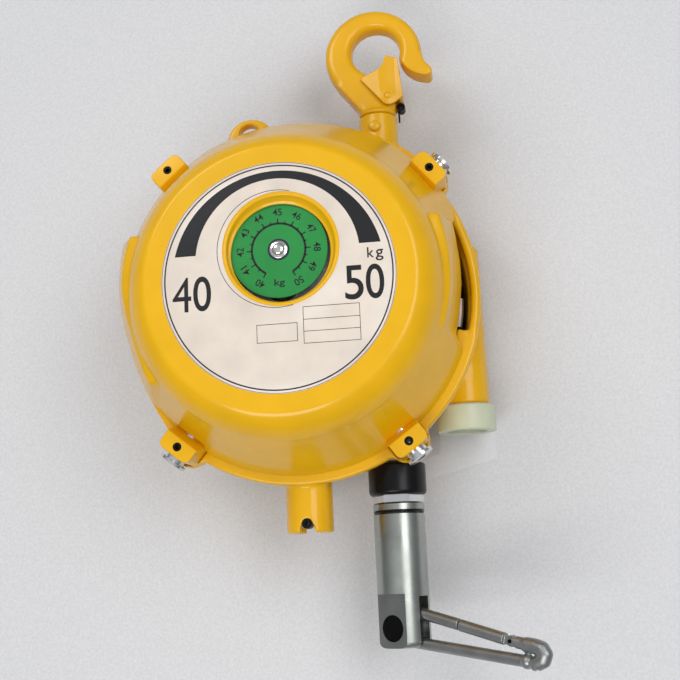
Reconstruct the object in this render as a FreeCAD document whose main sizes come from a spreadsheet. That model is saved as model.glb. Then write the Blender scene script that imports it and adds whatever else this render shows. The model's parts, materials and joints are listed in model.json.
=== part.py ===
import FreeCAD, Part
import math
import os
import Sketcher

# Spring tool balancer, millimetres.  The origin is the saddle of the top hook, where the
# balancer hangs.  +Z is up, the dial faces -Y and +X is to the right of someone facing it.
# The load line runs straight down from the origin.  The drum axis is horizontal, along +Y,
# and "depth" is measured along it from the plane of the scale label.

V = FreeCAD.Vector

DIMENSIONS = (
    ("axis_x", -60.0, "drum axis, left of the load line"),
    ("axis_z", -212.0, "drum axis, below the hook's saddle"),
    ("label_y", -110.0, "plane of the scale label, where depth is 0"),
    ("load_depth", 110.0, "depth of the load line"),
    ("skin", 5.0, "wall of the castings"),
    ("face_depth", 0.6, "front face of the cover"),
    ("face_rim", 87.5, "radius where the flat face turns into the shoulder"),
    ("shoulder_bend", 37.0, "radius of the shoulder's curve"),
    ("dome_rim", 111.0, "outside radius of the cover"),
    ("dome_depth", 36.0, "depth where the shoulder meets the wall"),
    ("mouth_depth", 79.5, "open edge of the cover"),
    ("label_rim", 75.0, "radius of the scale label"),
    ("label_hole", 39.0, "radius of the label's window"),
    ("dial_up", 19.0, "dial centre above the drum axis, the gears' centre distance"),
    ("window_step", 36.5, "radius of the first step of the dial window"),
    ("window_rim", 33.0, "radius of the dial window"),
    ("dial_rim", 31.5, "radius of the dial plate"),
    ("dial_depth", 7.0, "depth of the dial plate's face"),
    ("flange_depth", 70.0, "front face of the rear case's flange"),
    ("flange_rim", 126.0, "outside radius of that flange"),
    ("flange_bore", 112.2, "inside radius of that flange, round the cover's open edge"),
    ("window_reach", 119.5, "outside radius of the inspection window in that flange"),
    ("case_bore", 117.5, "inside radius of the rear case behind the flange"),
    ("back_bore", 109.5, "inside radius of the rear case at its back plate"),
    ("flange_thick", 9.0, "depth of that flange"),
    ("back_depth", 151.0, "outside of the rear case's back plate"),
    ("back_rim", 118.5, "outside radius of the rear case at its back corner"),
    ("hub_depth", 160.0, "end of the rear hub"),
    ("hub_rim", 24.0, "radius of the rear hub"),
    ("lug_circle", 126.4, "radius of the roll pins' circle"),
    ("lug_depth", 49.1, "front face of the cover's lugs"),
    ("lug_wide", 25.0, "lug, around the axis"),
    ("lug_high", 12.6, "lug, away from the axis"),
    ("bolt_depth", 63.5, "depth of the radial cover bolts"),
    ("bolt_seat", 132.7, "radius that the bolt heads seat on"),
    ("pin_bore", 3.0, "radius of the roll pins"),
    ("bracket_rim", 136.0, "outside radius of the hook bracket"),
    ("collar_rim", 14.0, "radius of the hook collar"),
    ("collar_top", -69.0, "top of the hook collar"),
    ("stem_rim", 8.0, "radius of the hook's stem"),
    ("hook_thick", 18.0, "thickness of the top hook"),
    ("bowl", 18.0, "radius of the top hook's bowl"),
    ("hook_rim", 35.9, "outside radius of the top hook"),
    ("eye_circle", 134.0, "radius at which the safety eye's hole lies"),
    ("eye_bore", 7.5, "radius of the safety eye's hole"),
    ("tube_x", 1.5, "lock tube, right of the drum axis"),
    ("tube_depth", 88.0, "depth of the lock tube and of the drum's notched flange"),
    ("tube_rim", 15.8, "radius of the lock tube"),
    ("tube_end", -157.0, "lower end of the lock tube, from the drum axis"),
    ("worm_x", 110.0, "worm axis, right of the drum axis"),
    ("worm_depth", 138.0, "depth of the worm and its wheel"),
    ("housing_rim", 17.5, "radius of the worm housing"),
    ("housing_end", -70.5, "lower end of the worm housing, from the drum axis"),
    ("nylon_rim", 21.0, "radius of the nylon collar under the worm housing"),
    ("nylon_tall", 18.5, "height of that collar"),
    ("wheel_pitch", 99.0, "pitch radius of the worm wheel"),
    ("worm_pitch", 11.0, "pitch radius of the worm"),
    ("worm_module", 3.0, "module of worm and wheel"),
    ("wheel_teeth", 66.0, "teeth of the worm wheel"),
    ("pinion_teeth", 12.0, "teeth of the dial pinion"),
    ("dial_teeth", 26.0, "teeth of the dial gear"),
    ("dial_module", 1.0, "module of the dial gears"),
    ("shaft_rim", 12.5, "radius of the main shaft"),
    ("running", 0.06, "radial clearance of a running fit"),
    ("flange_drum", 114.0, "radius of the rope drum's notched flange"),
    ("lock_notches", 24.0, "notches around that flange"),
    ("wire_pitch", 60.31, "radius of the wire's centre line on the drum"),
    ("wire_rim", 2.5, "radius of the wire rope"),
    ("barrel_rim", 102.0, "radius of the spring barrel"),
    ("stopper_rim", 19.9, "radius of the rubber stopper"),
    ("stopper_top", -323.6, "top of the stopper, drawn right up"),
    ("stopper_end", -345.8, "lower end of the stopper"),
    ("swivel_rim", 17.6, "radius of the swivel"),
    ("swivel_top", -350.5, "top of the swivel"),
    ("swivel_seam", -355.6, "seam between the swivel's cap and its body"),
    ("fork_end", -447.0, "lower end of the swivel's fork"),
    ("fork_flat", 13.2, "half of the width across the fork's flats"),
    ("fork_gap", 4.9, "half of the fork's slot"),
    ("fork_turn", 34.0, "the link's plane, turned towards the viewer from +X"),
    ("pin_z", -434.0, "axis of the fork pin"),
    ("link_rod", 3.9, "radius of the link's rod"),
    ("link_reach", 101.0, "from the fork pin to the centre of the link's bow"),
)


class Size:
    """A length held both as a number and as an expression over the sheet's cells."""

    def __init__(self, value, text=None):
        self.value = float(value)
        self.text = text or repr(float(value))

    def __add__(self, other):
        other = size(other)
        return Size(self.value + other.value, f"({self.text} + {other.text})")

    def __sub__(self, other):
        other = size(other)
        return Size(self.value - other.value, f"({self.text} - {other.text})")

    def __mul__(self, other):
        other = size(other)
        return Size(self.value * other.value, f"({self.text} * {other.text})")

    def __truediv__(self, other):
        other = size(other)
        return Size(self.value / other.value, f"({self.text} / {other.text})")

    def __radd__(self, other):
        return size(other) + self

    def __rsub__(self, other):
        return size(other) - self

    def __rmul__(self, other):
        return self * other

    def __neg__(self):
        return Size(-self.value, f"(-1 * {self.text})")


def size(length):
    return length if isinstance(length, Size) else Size(length)


class Sheet:
    """The spreadsheet of driving dimensions, read back by alias as sizes."""

    def __init__(self, doc, rows):
        self.rows = {}
        sheet = doc.addObject("Spreadsheet::Sheet", "Sizes")
        for line, (alias, value, note) in enumerate(rows, start=1):
            sheet.set(f"A{line}", alias)
            sheet.set(f"B{line}", repr(value))
            sheet.setAlias(f"B{line}", alias)
            sheet.set(f"C{line}", note)
            self.rows[alias] = Size(value, f"Sizes.{alias}")
        doc.recompute()

    def __getattr__(self, alias):
        return self.rows[alias]


doc = FreeCAD.newDocument("tool_balancer")
d = Sheet(doc, DIMENSIONS)
nodes = {}

TURNS = {
    "Z": FreeCAD.Rotation(),
    "-Z": FreeCAD.Rotation(V(1, 0, 0), 180),
    "Y": FreeCAD.Rotation(V(1, 0, 0), -90),
    "-Y": FreeCAD.Rotation(V(1, 0, 0), 90),
    "X": FreeCAD.Rotation(V(0, 1, 0), 90),
}


def bind(item, name, length):
    length = size(length)
    setattr(item, name, length.value)
    item.setExpression(name, length.text)


def seat(item, at, along="Z"):
    """Place an object's origin at a point and point its own Z along an axis."""
    at = [size(length) for length in at]
    turn = TURNS[along] if isinstance(along, str) else along
    item.Placement = FreeCAD.Placement(V(*[length.value for length in at]), turn)
    for letter, length in zip("xyz", at):
        item.setExpression(f".Placement.Base.{letter}", length.text)
    return item


def on_axis(depth=0.0, right=0.0, up=0.0):
    """A point given by its depth and its offset from the drum axis."""
    return (d.axis_x + right, d.label_y + depth, d.axis_z + up)


def keep(name, item):
    """Name a finished sub-part: its label is the name of its node."""
    item.Label = name
    nodes[name] = item
    return item


# ---- sketches ---------------------------------------------------------------------------

def hold_point(sketch, geometry, end, across, up):
    """Pin one end of an edge at sheet-driven coordinates."""
    for kind, axis, length in (("DistanceX", -2, across), ("DistanceY", -1, up)):
        if length.text == "0.0":
            sketch.addConstraint(Sketcher.Constraint("PointOnObject", geometry, end, axis))
            continue
        index = sketch.addConstraint(
            Sketcher.Constraint(kind, -1, 1, geometry, end, length.value))
        sketch.setExpression(f"Constraints[{index}]", length.text)


def arc_edge(start, end, bend):
    """The short arc between two points: a positive bend turns left, a negative one right."""
    half = (end - start) * 0.5
    side = V(-half.y, half.x, 0).normalize()
    rise = math.sqrt(max(bend * bend - half.dot(half), 0.0))
    centre = start + half + side * math.copysign(rise, bend)
    first, last = (start, end) if bend > 0 else (end, start)
    angles = [math.atan2(point.y - centre.y, point.x - centre.x) for point in (first, last)]
    return Part.ArcOfCircle(Part.Circle(centre, V(0, 0, 1), abs(bend)), *angles)


def draw(sketch, corners):
    """Closed outline of corners (u, v), or (u, v, bend) where an arc leaves the corner."""
    corners = [[size(length) for length in corner] for corner in corners]
    first = sketch.GeometryCount
    ends = []
    for here, ahead in zip(corners, corners[1:] + corners[:1]):
        start = V(here[0].value, here[1].value, 0)
        end = V(ahead[0].value, ahead[1].value, 0)
        if len(here) == 3:
            sketch.addGeometry(arc_edge(start, end, here[2].value))
            ends.append((1, 2) if here[2].value > 0 else (2, 1))
        else:
            sketch.addGeometry(Part.LineSegment(start, end))
            ends.append((1, 2))
    for index, corner in enumerate(corners):
        after = (index + 1) % len(corners)
        sketch.addConstraint(Sketcher.Constraint(
            "Coincident", first + index, ends[index][1], first + after, ends[after][0]))
        hold_point(sketch, first + index, ends[index][0], corner[0], corner[1])
        if len(corner) == 3:
            radius = sketch.addConstraint(
                Sketcher.Constraint("Radius", first + index, abs(corner[2].value)))
            text = corner[2].text if corner[2].value > 0 else f"-1 * {corner[2].text}"
            sketch.setExpression(f"Constraints[{radius}]", text)


def draw_circle(sketch, across, up, radius):
    across, up, radius = size(across), size(up), size(radius)
    circle = Part.Circle(V(across.value, up.value, 0), V(0, 0, 1), radius.value)
    index = sketch.addGeometry(circle)
    hold_point(sketch, index, 3, across, up)
    constraint = sketch.addConstraint(Sketcher.Constraint("Radius", index, radius.value))
    sketch.setExpression(f"Constraints[{constraint}]", radius.text)


def outline(body, plane, loops, lift=0.0):
    """A sketch on one of a body's own planes, of outlines and circles (u, v, radius)."""
    sketch = body.newObject("Sketcher::SketchObject", "outline")
    support = next(item for item in body.Origin.OriginFeatures if item.Role == plane)
    sketch.AttachmentSupport = [(support, "")]
    sketch.MapMode = "FlatFace"
    lift = size(lift)
    sketch.AttachmentOffset = FreeCAD.Placement(V(0, 0, lift.value), FreeCAD.Rotation())
    sketch.setExpression(".AttachmentOffset.Base.z", lift.text)
    for loop in loops:
        if isinstance(loop, tuple):
            draw_circle(sketch, *loop)
        else:
            draw(sketch, loop)
    return sketch


# ---- features ---------------------------------------------------------------------------

def new_body(name, at=(0.0, 0.0, 0.0), along="Z"):
    return seat(doc.addObject("PartDesign::Body", name), at, along)


def pad(body, loops, thick, lift=0.0, plane="XY_Plane"):
    feature = body.newObject("PartDesign::Pad", "pad")
    feature.Profile = outline(body, plane, loops, lift)
    bind(feature, "Length", thick)
    return feature


def pocket(body, loops, deep, lift=0.0, plane="XY_Plane"):
    """Cut from the lifted plane along its normal."""
    feature = body.newObject("PartDesign::Pocket", "pocket")
    feature.Profile = outline(body, plane, loops, lift)
    feature.Reversed = True
    bind(feature, "Length", deep)
    return feature


def spin(body, corners, kind="Revolution"):
    """Turn an outline of (radius, height) about the body's own Z."""
    feature = body.newObject(f"PartDesign::{kind}", kind.lower())
    feature.Profile = outline(body, "XZ_Plane", [corners])
    feature.ReferenceAxis = (feature.Profile[0], ["V_Axis"])
    feature.Angle = 360.0
    return feature


def around(body, feature, count):
    """Repeat a feature about the body's own Z."""
    pattern = body.newObject("PartDesign::PolarPattern", "pattern")
    pattern.Originals = [feature]
    axis = next(item for item in body.Origin.OriginFeatures if item.Role == "Z_Axis")
    pattern.Axis = (axis, [""])
    pattern.Angle = 360.0
    pattern.Occurrences = round(size(count).value)
    if isinstance(count, Size):
        pattern.setExpression("Occurrences", count.text)
    body.Tip = pattern
    return pattern


def soften(body, radius, wanted, kind="Fillet"):
    """Fillet or chamfer the tip's edges that a test picks out."""
    doc.recompute()
    base = body.Tip
    names = [f"Edge{index}" for index, edge in enumerate(base.Shape.Edges, start=1)
             if wanted(edge)]
    feature = body.newObject(f"PartDesign::{kind}", kind.lower())
    feature.Base = (base, names)
    bind(feature, "Radius" if kind == "Fillet" else "Size", radius)
    return feature


def turned(name, corners, at, along="Z"):
    body = new_body(name, at, along)
    spin(body, corners)
    return body


def plate(name, loops, thick, at, along="Z"):
    body = new_body(name, at, along)
    pad(body, loops, thick)
    return body


def disc(inner, outer, low, high, ease=0.0):
    """Outline of a ring about the Z axis, with its outer corners eased."""
    inner, outer, low, high = size(inner), size(outer), size(low), size(high)
    if ease:
        return [(inner, low), (outer - ease, low), (outer, low + ease),
                (outer, high - ease), (outer - ease, high), (inner, high)]
    return [(inner, low), (outer, low), (outer, high), (inner, high)]


def rod(name, radius, tall, at, along="Z", sweep=None):
    item = doc.addObject("Part::Cylinder", name)
    bind(item, "Radius", radius)
    bind(item, "Height", tall)
    if sweep is not None:
        bind(item, "Angle", sweep)
    return seat(item, at, along)


def block(name, wide, deep, tall, at, along="Z"):
    item = doc.addObject("Part::Box", name)
    bind(item, "Length", wide)
    bind(item, "Width", deep)
    bind(item, "Height", tall)
    return seat(item, at, along)


def fuse(name, *items):
    joined = doc.addObject("Part::MultiFuse", name)
    joined.Shapes = list(items)
    return joined


def cut(name, base, *tools):
    result = doc.addObject("Part::Cut", name)
    result.Base = base
    result.Tool = tools[0] if len(tools) == 1 else fuse(name + "_tools", *tools)
    return result


def group(name, items):
    """Identical fasteners share one node."""
    joined = doc.addObject("Part::Compound", name)
    joined.Links = items
    return keep(name, joined)


def facing(angle, radial):
    """Turn about the drum axis: 0 is +X and positive turns towards +Z."""
    turn = FreeCAD.Rotation(V(0, 1, 0), -angle)
    return turn.multiply(TURNS["X" if radial else "Y"])


def round_axis(angle, radius, depth):
    """A point at an angle and radius about the drum axis."""
    radius = size(radius)
    cosine, sine = math.cos(math.radians(angle)), math.sin(math.radians(angle))
    return on_axis(depth, radius * cosine, radius * sine)


# ---- the castings -----------------------------------------------------------------------

LUG_ANGLES = (131.4, 39.7, -54.5, -129.1)
BOLTED_LUGS = LUG_ANGLES[1:]
WINDOW_SECTOR = (-14.0, 37.0)
DRAIN_SECTOR = (-93.0, 15.0)
EYE_ANGLE = 104.0
BRACKET_SECTOR = (45.0, 32.0)


def lug(angle):
    """One lug of the cover: a rounded block with its outer corners well eased."""
    corner = 5.0
    half = d.lug_wide / 2
    low = -d.lug_high - 5
    high = d.lug_high / 2
    body = new_body("lug", round_axis(angle, d.lug_circle, d.lug_depth),
                    facing(angle, False))
    # In this body +X points away from the drum axis.
    pad(body, [[(low, -half), (high - corner, -half, corner), (high, -half + corner),
                (high, half - corner, corner), (high - corner, half), (low, half)]],
        d.mouth_depth - d.lug_depth - 3.0)
    soften(body, 1.2, lambda edge: edge.BoundBox.ZMax < 0.01 and edge.BoundBox.XMax > 0)
    return body


def front_cover():
    inner = d.dome_rim - d.skin
    shell = turned("dome", [
        (0.0, d.face_depth), (d.face_rim, d.face_depth, d.shoulder_bend),
        (d.dome_rim, d.dome_depth), (d.dome_rim + 0.5, d.mouth_depth),
        (inner + 0.5, d.mouth_depth), (inner, d.dome_depth, -(d.shoulder_bend - d.skin)),
        (d.face_rim - 2.0, d.face_depth + d.skin), (0.0, d.face_depth + d.skin)],
        on_axis(), "Y")
    window = rod("window_ring", d.window_rim + 8, 10.4, on_axis(d.face_depth, 0, d.dial_up),
                 "Y")
    seat_ring = turned("support_seat", disc(50.0, 58.0, d.face_depth + 2, 19.0),
                       on_axis(), "Y")
    lugs = [lug(angle) for angle in LUG_ANGLES]
    solid = fuse("cover_solid", shell, window, seat_ring, *lugs)
    tools = [rod("window_bore", d.window_rim, 12.0, on_axis(-0.4, 0, d.dial_up), "Y"),
             rod("window_step_bore", d.window_step, 3.4,
                 on_axis(d.face_depth - 0.4, 0, d.dial_up), "Y"),
             turned("cover_hollow", [
                 (0.0, 19.0), (50.0, 19.0), (98.0, 19.0), (103.0, 30.0),
                 (inner, 40.0), (inner + 0.5, d.mouth_depth + 1),
                 (0.0, d.mouth_depth + 1)], on_axis(), "Y")]
    for angle in LUG_ANGLES:
        tools.append(rod("pin_hole", d.pin_bore, 24.0,
                         round_axis(angle, d.lug_circle, d.lug_depth - 1),
                         facing(angle, False)))
    for angle in BOLTED_LUGS:
        tools.append(rod("bolt_hole", 5.0, 36.0, round_axis(angle, 102.0, d.bolt_depth),
                         facing(angle, True)))
    return keep("front_cover", cut("front_cover", solid, *tools))


def sector(name, inner, outer, low, high, start, sweep):
    """A stretch of ring about the drum axis."""
    turn = facing(start + sweep, False)
    outside = rod(name + "_outside", outer, high - low, on_axis(low), turn, sweep)
    inside = rod(name + "_inside", inner, size(high) - low + 2, on_axis(size(low) - 1), "Y")
    return cut(name, outside, inside)


def rear_case():
    outside = turned("case_outside", [
        (0.0, d.flange_depth), (d.flange_rim - 1.5, d.flange_depth, 1.5),
        (d.flange_rim, d.flange_depth + 1.5), (d.flange_rim, d.flange_depth + d.flange_thick),
        (d.flange_rim - 4, d.flange_depth + d.flange_thick + 4),
        (d.back_rim, d.back_depth - 8, 8.0), (d.back_rim - 8, d.back_depth),
        (d.hub_rim + 2, d.back_depth), (d.hub_rim, d.hub_depth), (0.0, d.hub_depth)],
        on_axis(), "Y")
    inside = turned("case_inside", [
        (0.0, d.flange_depth - 1), (d.flange_bore, d.flange_depth - 1),
        (d.flange_bore, d.mouth_depth + 1), (d.case_bore, d.mouth_depth + 4),
        (d.back_bore, d.back_depth - 10), (d.back_bore - 5, d.back_depth - d.skin),
        (0.0, d.back_depth - d.skin)], on_axis(), "Y")
    ears = [rod("ear", 15.0, 13.0, round_axis(angle, 122.0, d.flange_depth),
                facing(angle, False)) for angle in BOLTED_LUGS]
    ears.append(rod("plain_ear", 10.5, 13.0,
                    round_axis(LUG_ANGLES[0], 122.0, d.flange_depth), "Y"))
    start, sweep = BRACKET_SECTOR
    bracket = sector("bracket", 112.0, d.bracket_rim, Size(88.0), Size(132.0), start, sweep)
    eye = rod("eye_arch", 17.3, 10.0, round_axis(EYE_ANGLE, 128.0, 84.0), "Y")
    tube = rod("lock_tube", d.tube_rim, 50.0, on_axis(d.tube_depth, d.tube_x, d.tube_end))
    housing = turned("worm_housing", [
        (0.0, 0.0), (d.housing_rim, 0.0), (d.housing_rim - 1, 115.0),
        (d.housing_rim - 7, 120.5), (0.0, 120.5)],
        on_axis(d.worm_depth, d.worm_x, d.housing_end))
    exit_boss = rod("exit_boss", 17.0, 34.0, on_axis(d.load_depth, -d.axis_x, -108.0))
    solid = fuse("case_solid", outside, *ears, bracket, eye, tube, housing, exit_boss,
                 *back_ribs())
    tools = [
        inside,
        rod("hub_bore", 16.0, 20.0, on_axis(d.back_depth - 10), "Y"),
        rod("eye_bore", d.eye_bore, 30.0, round_axis(EYE_ANGLE, d.eye_circle, 74.0), "Y"),
        rod("collar_bore", d.collar_rim, 60.0, (0.0, 0.0, -128.0)),
        rod("tube_bore", 9.0, 37.0, on_axis(d.tube_depth, d.tube_x, d.tube_end - 1)),
        rod("tip_bore", 4.4, 60.0, on_axis(d.tube_depth, d.tube_x, d.tube_end - 1)),
        block("tube_slot", 9.3, 60.0, 6.5,
              on_axis(d.tube_depth - 30, d.tube_x - 4.65, d.tube_end - 1)),
        rod("worm_bore", 14.4, 107.0, on_axis(d.worm_depth, d.worm_x, d.housing_end + 8)),
        rod("worm_mouth", 9.0, 30.0, on_axis(d.worm_depth, d.worm_x, d.housing_end - 1)),
        rod("exit_bore", 12.0, 60.0, on_axis(d.load_depth, -d.axis_x, -130.0)),
        rod("guide_pin_bore", 3.4, 20.0,
            on_axis(d.tube_depth - 20, d.tube_x, d.tube_end + 5.8), "Y"),
        rod("guide_seat", 15.7, 16.0, (0.0, 0.0, -336.1)),
        rod("stopper_seat", 21.5, 12.9, (0.0, 0.0, -336.0)),
        turned("nylon_seat", [
            (0.0, -19.5), (d.nylon_rim + 0.3, -19.5), (d.nylon_rim + 0.3, -0.9),
            (d.nylon_rim - 0.9, 0.3), (d.housing_rim, 0.3), (d.housing_rim, 0.0), (0.0, 0.0)],
            on_axis(d.worm_depth, d.worm_x, d.housing_end)),
        sector("window", d.flange_bore - 2, d.window_reach, d.flange_depth - 1,
               d.mouth_depth + 5, *WINDOW_SECTOR),
        sector("drain", d.flange_bore - 2, d.flange_bore + 2.2, d.flange_depth - 1,
               d.mouth_depth + 5, *DRAIN_SECTOR),
    ]
    tools += [cover_clearance(angle) for angle in LUG_ANGLES]
    for angle in BOLTED_LUGS:
        tools.append(rod("ear_bolt_bore", 5.0, 40.0,
                         round_axis(angle, 100.0, d.bolt_depth), facing(angle, True)))
        tools.append(rod("head_room", 10.2, 20.0,
                         round_axis(angle, d.bolt_seat, d.bolt_depth), facing(angle, True)))
    return keep("rear_case", cut("rear_case", solid, *tools))


def cover_clearance(angle):
    """Room in the flange's ear for the cover's lug."""
    half = d.lug_wide / 2 + 0.3
    body = new_body("lug_room", round_axis(angle, d.lug_circle, d.flange_depth - 2),
                    facing(angle, False))
    pad(body, [[(-20.0, -half), (d.lug_high / 2 + 0.3, -half),
                (d.lug_high / 2 + 0.3, half), (-20.0, half)]], 8.8)
    return body


def back_ribs():
    """Low radial ribs on the back plate, from the hub to the corner."""
    ribs = []
    for angle in (30, 90, 150, 210, 270, 330):
        ribs.append(block("rib", 84.0, 5.0, 4.0, round_axis(angle, 22.0, d.back_depth - 1),
                          facing(angle, False)))
    return ribs


# ---- fasteners and fittings of the case -------------------------------------------------

def scale_label():
    ring = [(0.0, 0.0, d.label_rim), (0.0, -d.dial_up, d.label_hole)]
    keep("scale_label", plate("scale_label", [ring[0], ring[1]], d.face_depth,
                              on_axis(), "Y"))


def cover_fasteners():
    reach = d.bolt_seat - 104.0
    bolts = [turned("bolt", [(0.0, 0.0), (4.9, 0.0), (4.9, reach), (7.0, reach),
                             (7.0, reach + 3.0), (9.4, reach + 3.4), (9.4, reach + 5.2),
                             (8.6, reach + 5.8), (3.4, reach + 5.8), (3.4, reach + 2.0),
                             (0.0, reach + 2.0)],
                    round_axis(angle, 104.0, d.bolt_depth), facing(angle, True))
             for angle in BOLTED_LUGS]
    group("cover_bolts", bolts)
    pins = [turned("roll_pin", disc(1.4, d.pin_bore - 0.02, 0.4, 9.2),
                   round_axis(angle, d.lug_circle, d.lug_depth), facing(angle, False))
            for angle in LUG_ANGLES]
    group("roll_pins", pins)


def hook_fittings():
    keep("hook_collar", turned("hook_collar", [
        (d.stem_rim + d.running, -112.0), (d.collar_rim, -112.0),
        (d.collar_rim, d.collar_top - 1), (d.collar_rim - 1, d.collar_top),
        (d.stem_rim + d.running, d.collar_top)], (0.0, 0.0, 0.0)))
    pin = turned("collar_pin", [(0.0, 0.0), (2.4, 0.0), (2.4, 7.4), (4.3, 7.4), (4.3, 8.2),
                                (3.2, 9.5), (0.0, 10.2)], (-1.5, -6.4, -79.5), "-Y")
    keep("collar_pin", pin)
    base = nodes["hook_collar"]
    bore = rod("collar_pin_bore", 2.4, 10.0, (-1.5, -6.0, -79.5), "-Y")
    seat_cut = rod("collar_pin_seat", 4.3, 6.0, (-1.5, -13.8, -79.5), "-Y")
    keep("hook_collar", cut("hook_collar", base, bore, seat_cut))
    base.Label = "collar_blank"
    keep("hook_washer", turned("hook_washer", disc(d.stem_rim + 0.1, 13.5, -115.0, -112.0),
                               (0.0, 0.0, 0.0)))


def wire_guide():
    """Nylon bush that the wire leaves by, with a flange under the case."""
    keep("wire_guide", turned("wire_guide", [
        (4.0, -322.8), (14.0, -322.8), (15.5, -321.8), (15.5, -320.2), (12.0, -320.0),
        (12.0, -296.0), (8.0, -296.0), (4.0, -301.0)], (0.0, 0.0, 0.0)))


def worm_fittings():
    low = d.housing_end
    keep("worm_collar", turned("worm_collar", [
        (9.0, 0.0), (9.0, -5.0), (14.5, -5.0), (14.5, -d.nylon_tall),
        (d.nylon_rim - 0.8, -d.nylon_tall), (d.nylon_rim, 0.8 - d.nylon_tall),
        (d.nylon_rim, -1.2), (d.nylon_rim - 1.2, 0.0)],
        on_axis(d.worm_depth, d.worm_x, low)))
    bushes = [turned("worm_bush", disc(7.0 + d.running, 14.4, height, height + 8),
                     on_axis(d.worm_depth, d.worm_x)) for height in (-46.0, 36.2)]
    group("worm_bushes", bushes)
    body = new_body("clear_tag", on_axis(141.0, d.worm_x), "Y")
    # In this body +Y points down.
    pad(body, [[(-20.0, 89.0), (20.0, 89.0), (20.0, 108.5), (-42.0, 124.5),
                (-42.0, 109.0), (-20.0, 103.0)]], 0.8)
    keep("clear_tag", body)


def rear_fittings():
    keep("rear_bush", turned("rear_bush", disc(d.shaft_rim + d.running, 16.0,
                                               d.back_depth - d.skin, d.hub_depth),
                             on_axis(), "Y"))
    keep("rear_cap", turned("rear_cap", [
        (0.0, d.hub_depth), (d.hub_rim - 1, d.hub_depth), (d.hub_rim - 1, d.hub_depth + 2.5),
        (d.hub_rim - 3, d.hub_depth + 4), (0.0, d.hub_depth + 4)], on_axis(), "Y"))


def shaft_support():
    """Plate behind the dial that carries the front of the shaft and the dial's spindle."""
    body = turned("shaft_support", [
        (d.shaft_rim + d.running, 19.0), (58.0, 19.0), (58.0, 24.0), (20.0, 25.0),
        (19.0, 28.0), (d.shaft_rim + d.running, 28.0)], on_axis(), "Y")
    pocket(body, [(0.0, -d.dial_up, 3.0 + d.running)], 12.0, 17.0)
    pocket(body, [(0.0, -d.dial_up, 5.6)], 5.0, 25.3)
    keep("shaft_support", body)


# ---- main shaft, worm drive and dial ----------------------------------------------------

KEY_WIDE = 8.0


def gear(name, blank, module, teeth, low, thick, at, along, slim=0.82, turn=0.0):
    """Cut straight tooth gaps into a turned blank and repeat them round it."""
    body = turned(name, blank, at, along)
    module, teeth = size(module), size(teeth)
    pitch = module * teeth / 2
    gap = module * (math.pi * (1 - slim / 2))
    foot, mouth = gap * 0.30, gap * 0.5 + module * 0.42
    root, clear = pitch - module * 1.15, pitch + module * 1.2
    notch = pocket(body, [[(root, -foot), (clear, -mouth), (clear, mouth), (root, foot)]],
                   thick, low)
    around(body, notch, teeth)
    return body


def main_shaft():
    body = turned("main_shaft", [
        (0.0, 11.0), (3.5, 11.0), (3.5, 17.0), (d.shaft_rim - 1, 17.0), (d.shaft_rim, 18.0),
        (d.shaft_rim, 158.0), (d.shaft_rim - 1, 159.0), (0.0, 159.0)], on_axis(), "Y")
    pocket(body, [[(-KEY_WIDE / 2, 9.0), (KEY_WIDE / 2, 9.0),
                   (KEY_WIDE / 2, 13.0), (-KEY_WIDE / 2, 13.0)]], 16.0, 129.5)
    keep("main_shaft", body)
    key = plate("wheel_key", [[(-KEY_WIDE / 2, 9.0), (KEY_WIDE / 2, 9.0),
                               (KEY_WIDE / 2, 15.5), (-KEY_WIDE / 2, 15.5)]],
                16.0, on_axis(129.5), "Y")
    keep("wheel_key", key)
    keep("spring_arbor", turned("spring_arbor", disc(d.shaft_rim, 22.0, 42.0, 78.0, 1.0),
                                on_axis(), "Y"))


def worm_drive():
    rim = d.wheel_pitch + 2.6
    face = d.worm_depth - 5.0
    wheel = gear("worm_wheel", [
        (d.shaft_rim, face - 3.5), (24.0, face - 3.5), (26.0, face + 2), (86.0, face + 2),
        (88.0, face), (rim, face), (rim, face + 10), (88.0, face + 10), (86.0, face + 8),
        (26.0, face + 8), (24.0, face + 12.5), (d.shaft_rim, face + 12.5)],
        d.worm_module, d.wheel_teeth, face - 1, 12.0, on_axis(), "Y")
    pocket(wheel, [[(-KEY_WIDE / 2, 9.0), (KEY_WIDE / 2, 9.0),
                    (KEY_WIDE / 2, 15.5), (-KEY_WIDE / 2, 15.5)]], 16.0, 129.5)
    hole = pocket(wheel, [(56.0, 0.0, 18.0)], 20.0, face - 5)
    around(wheel, hole, 6)
    keep("worm_wheel", wheel)
    worm = turned("worm", [
        (0.0, -85.0), (6.0, -85.0), (7.0, -84.0), (7.0, -25.0), (7.6, -24.0), (7.6, 24.0),
        (7.0, 25.0), (7.0, 43.0), (6.0, 44.0), (0.0, 44.0)],
        on_axis(d.worm_depth, d.worm_x))
    thread = worm.newObject("PartDesign::AdditiveHelix", "thread")
    lead = d.worm_module * math.pi
    first = -2.5 * lead
    foot, tip = 2.3, 0.75
    thread.Profile = outline(worm, "XZ_Plane", [[
        (7.4, first - foot), (d.worm_pitch + 2.4, first - tip),
        (d.worm_pitch + 2.4, first + tip), (7.4, first + foot)]])
    thread.ReferenceAxis = (thread.Profile[0], ["V_Axis"])
    thread.Mode = 0
    bind(thread, "Pitch", lead)
    bind(thread, "Height", lead * 4)
    socket = pocket(worm, [[(-4.0, -2.31), (0.0, -4.62), (4.0, -2.31), (4.0, 2.31),
                            (0.0, 4.62), (-4.0, 2.31)]], 8.0, -86.0)
    worm.Tip = socket
    keep("worm", worm)


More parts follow.
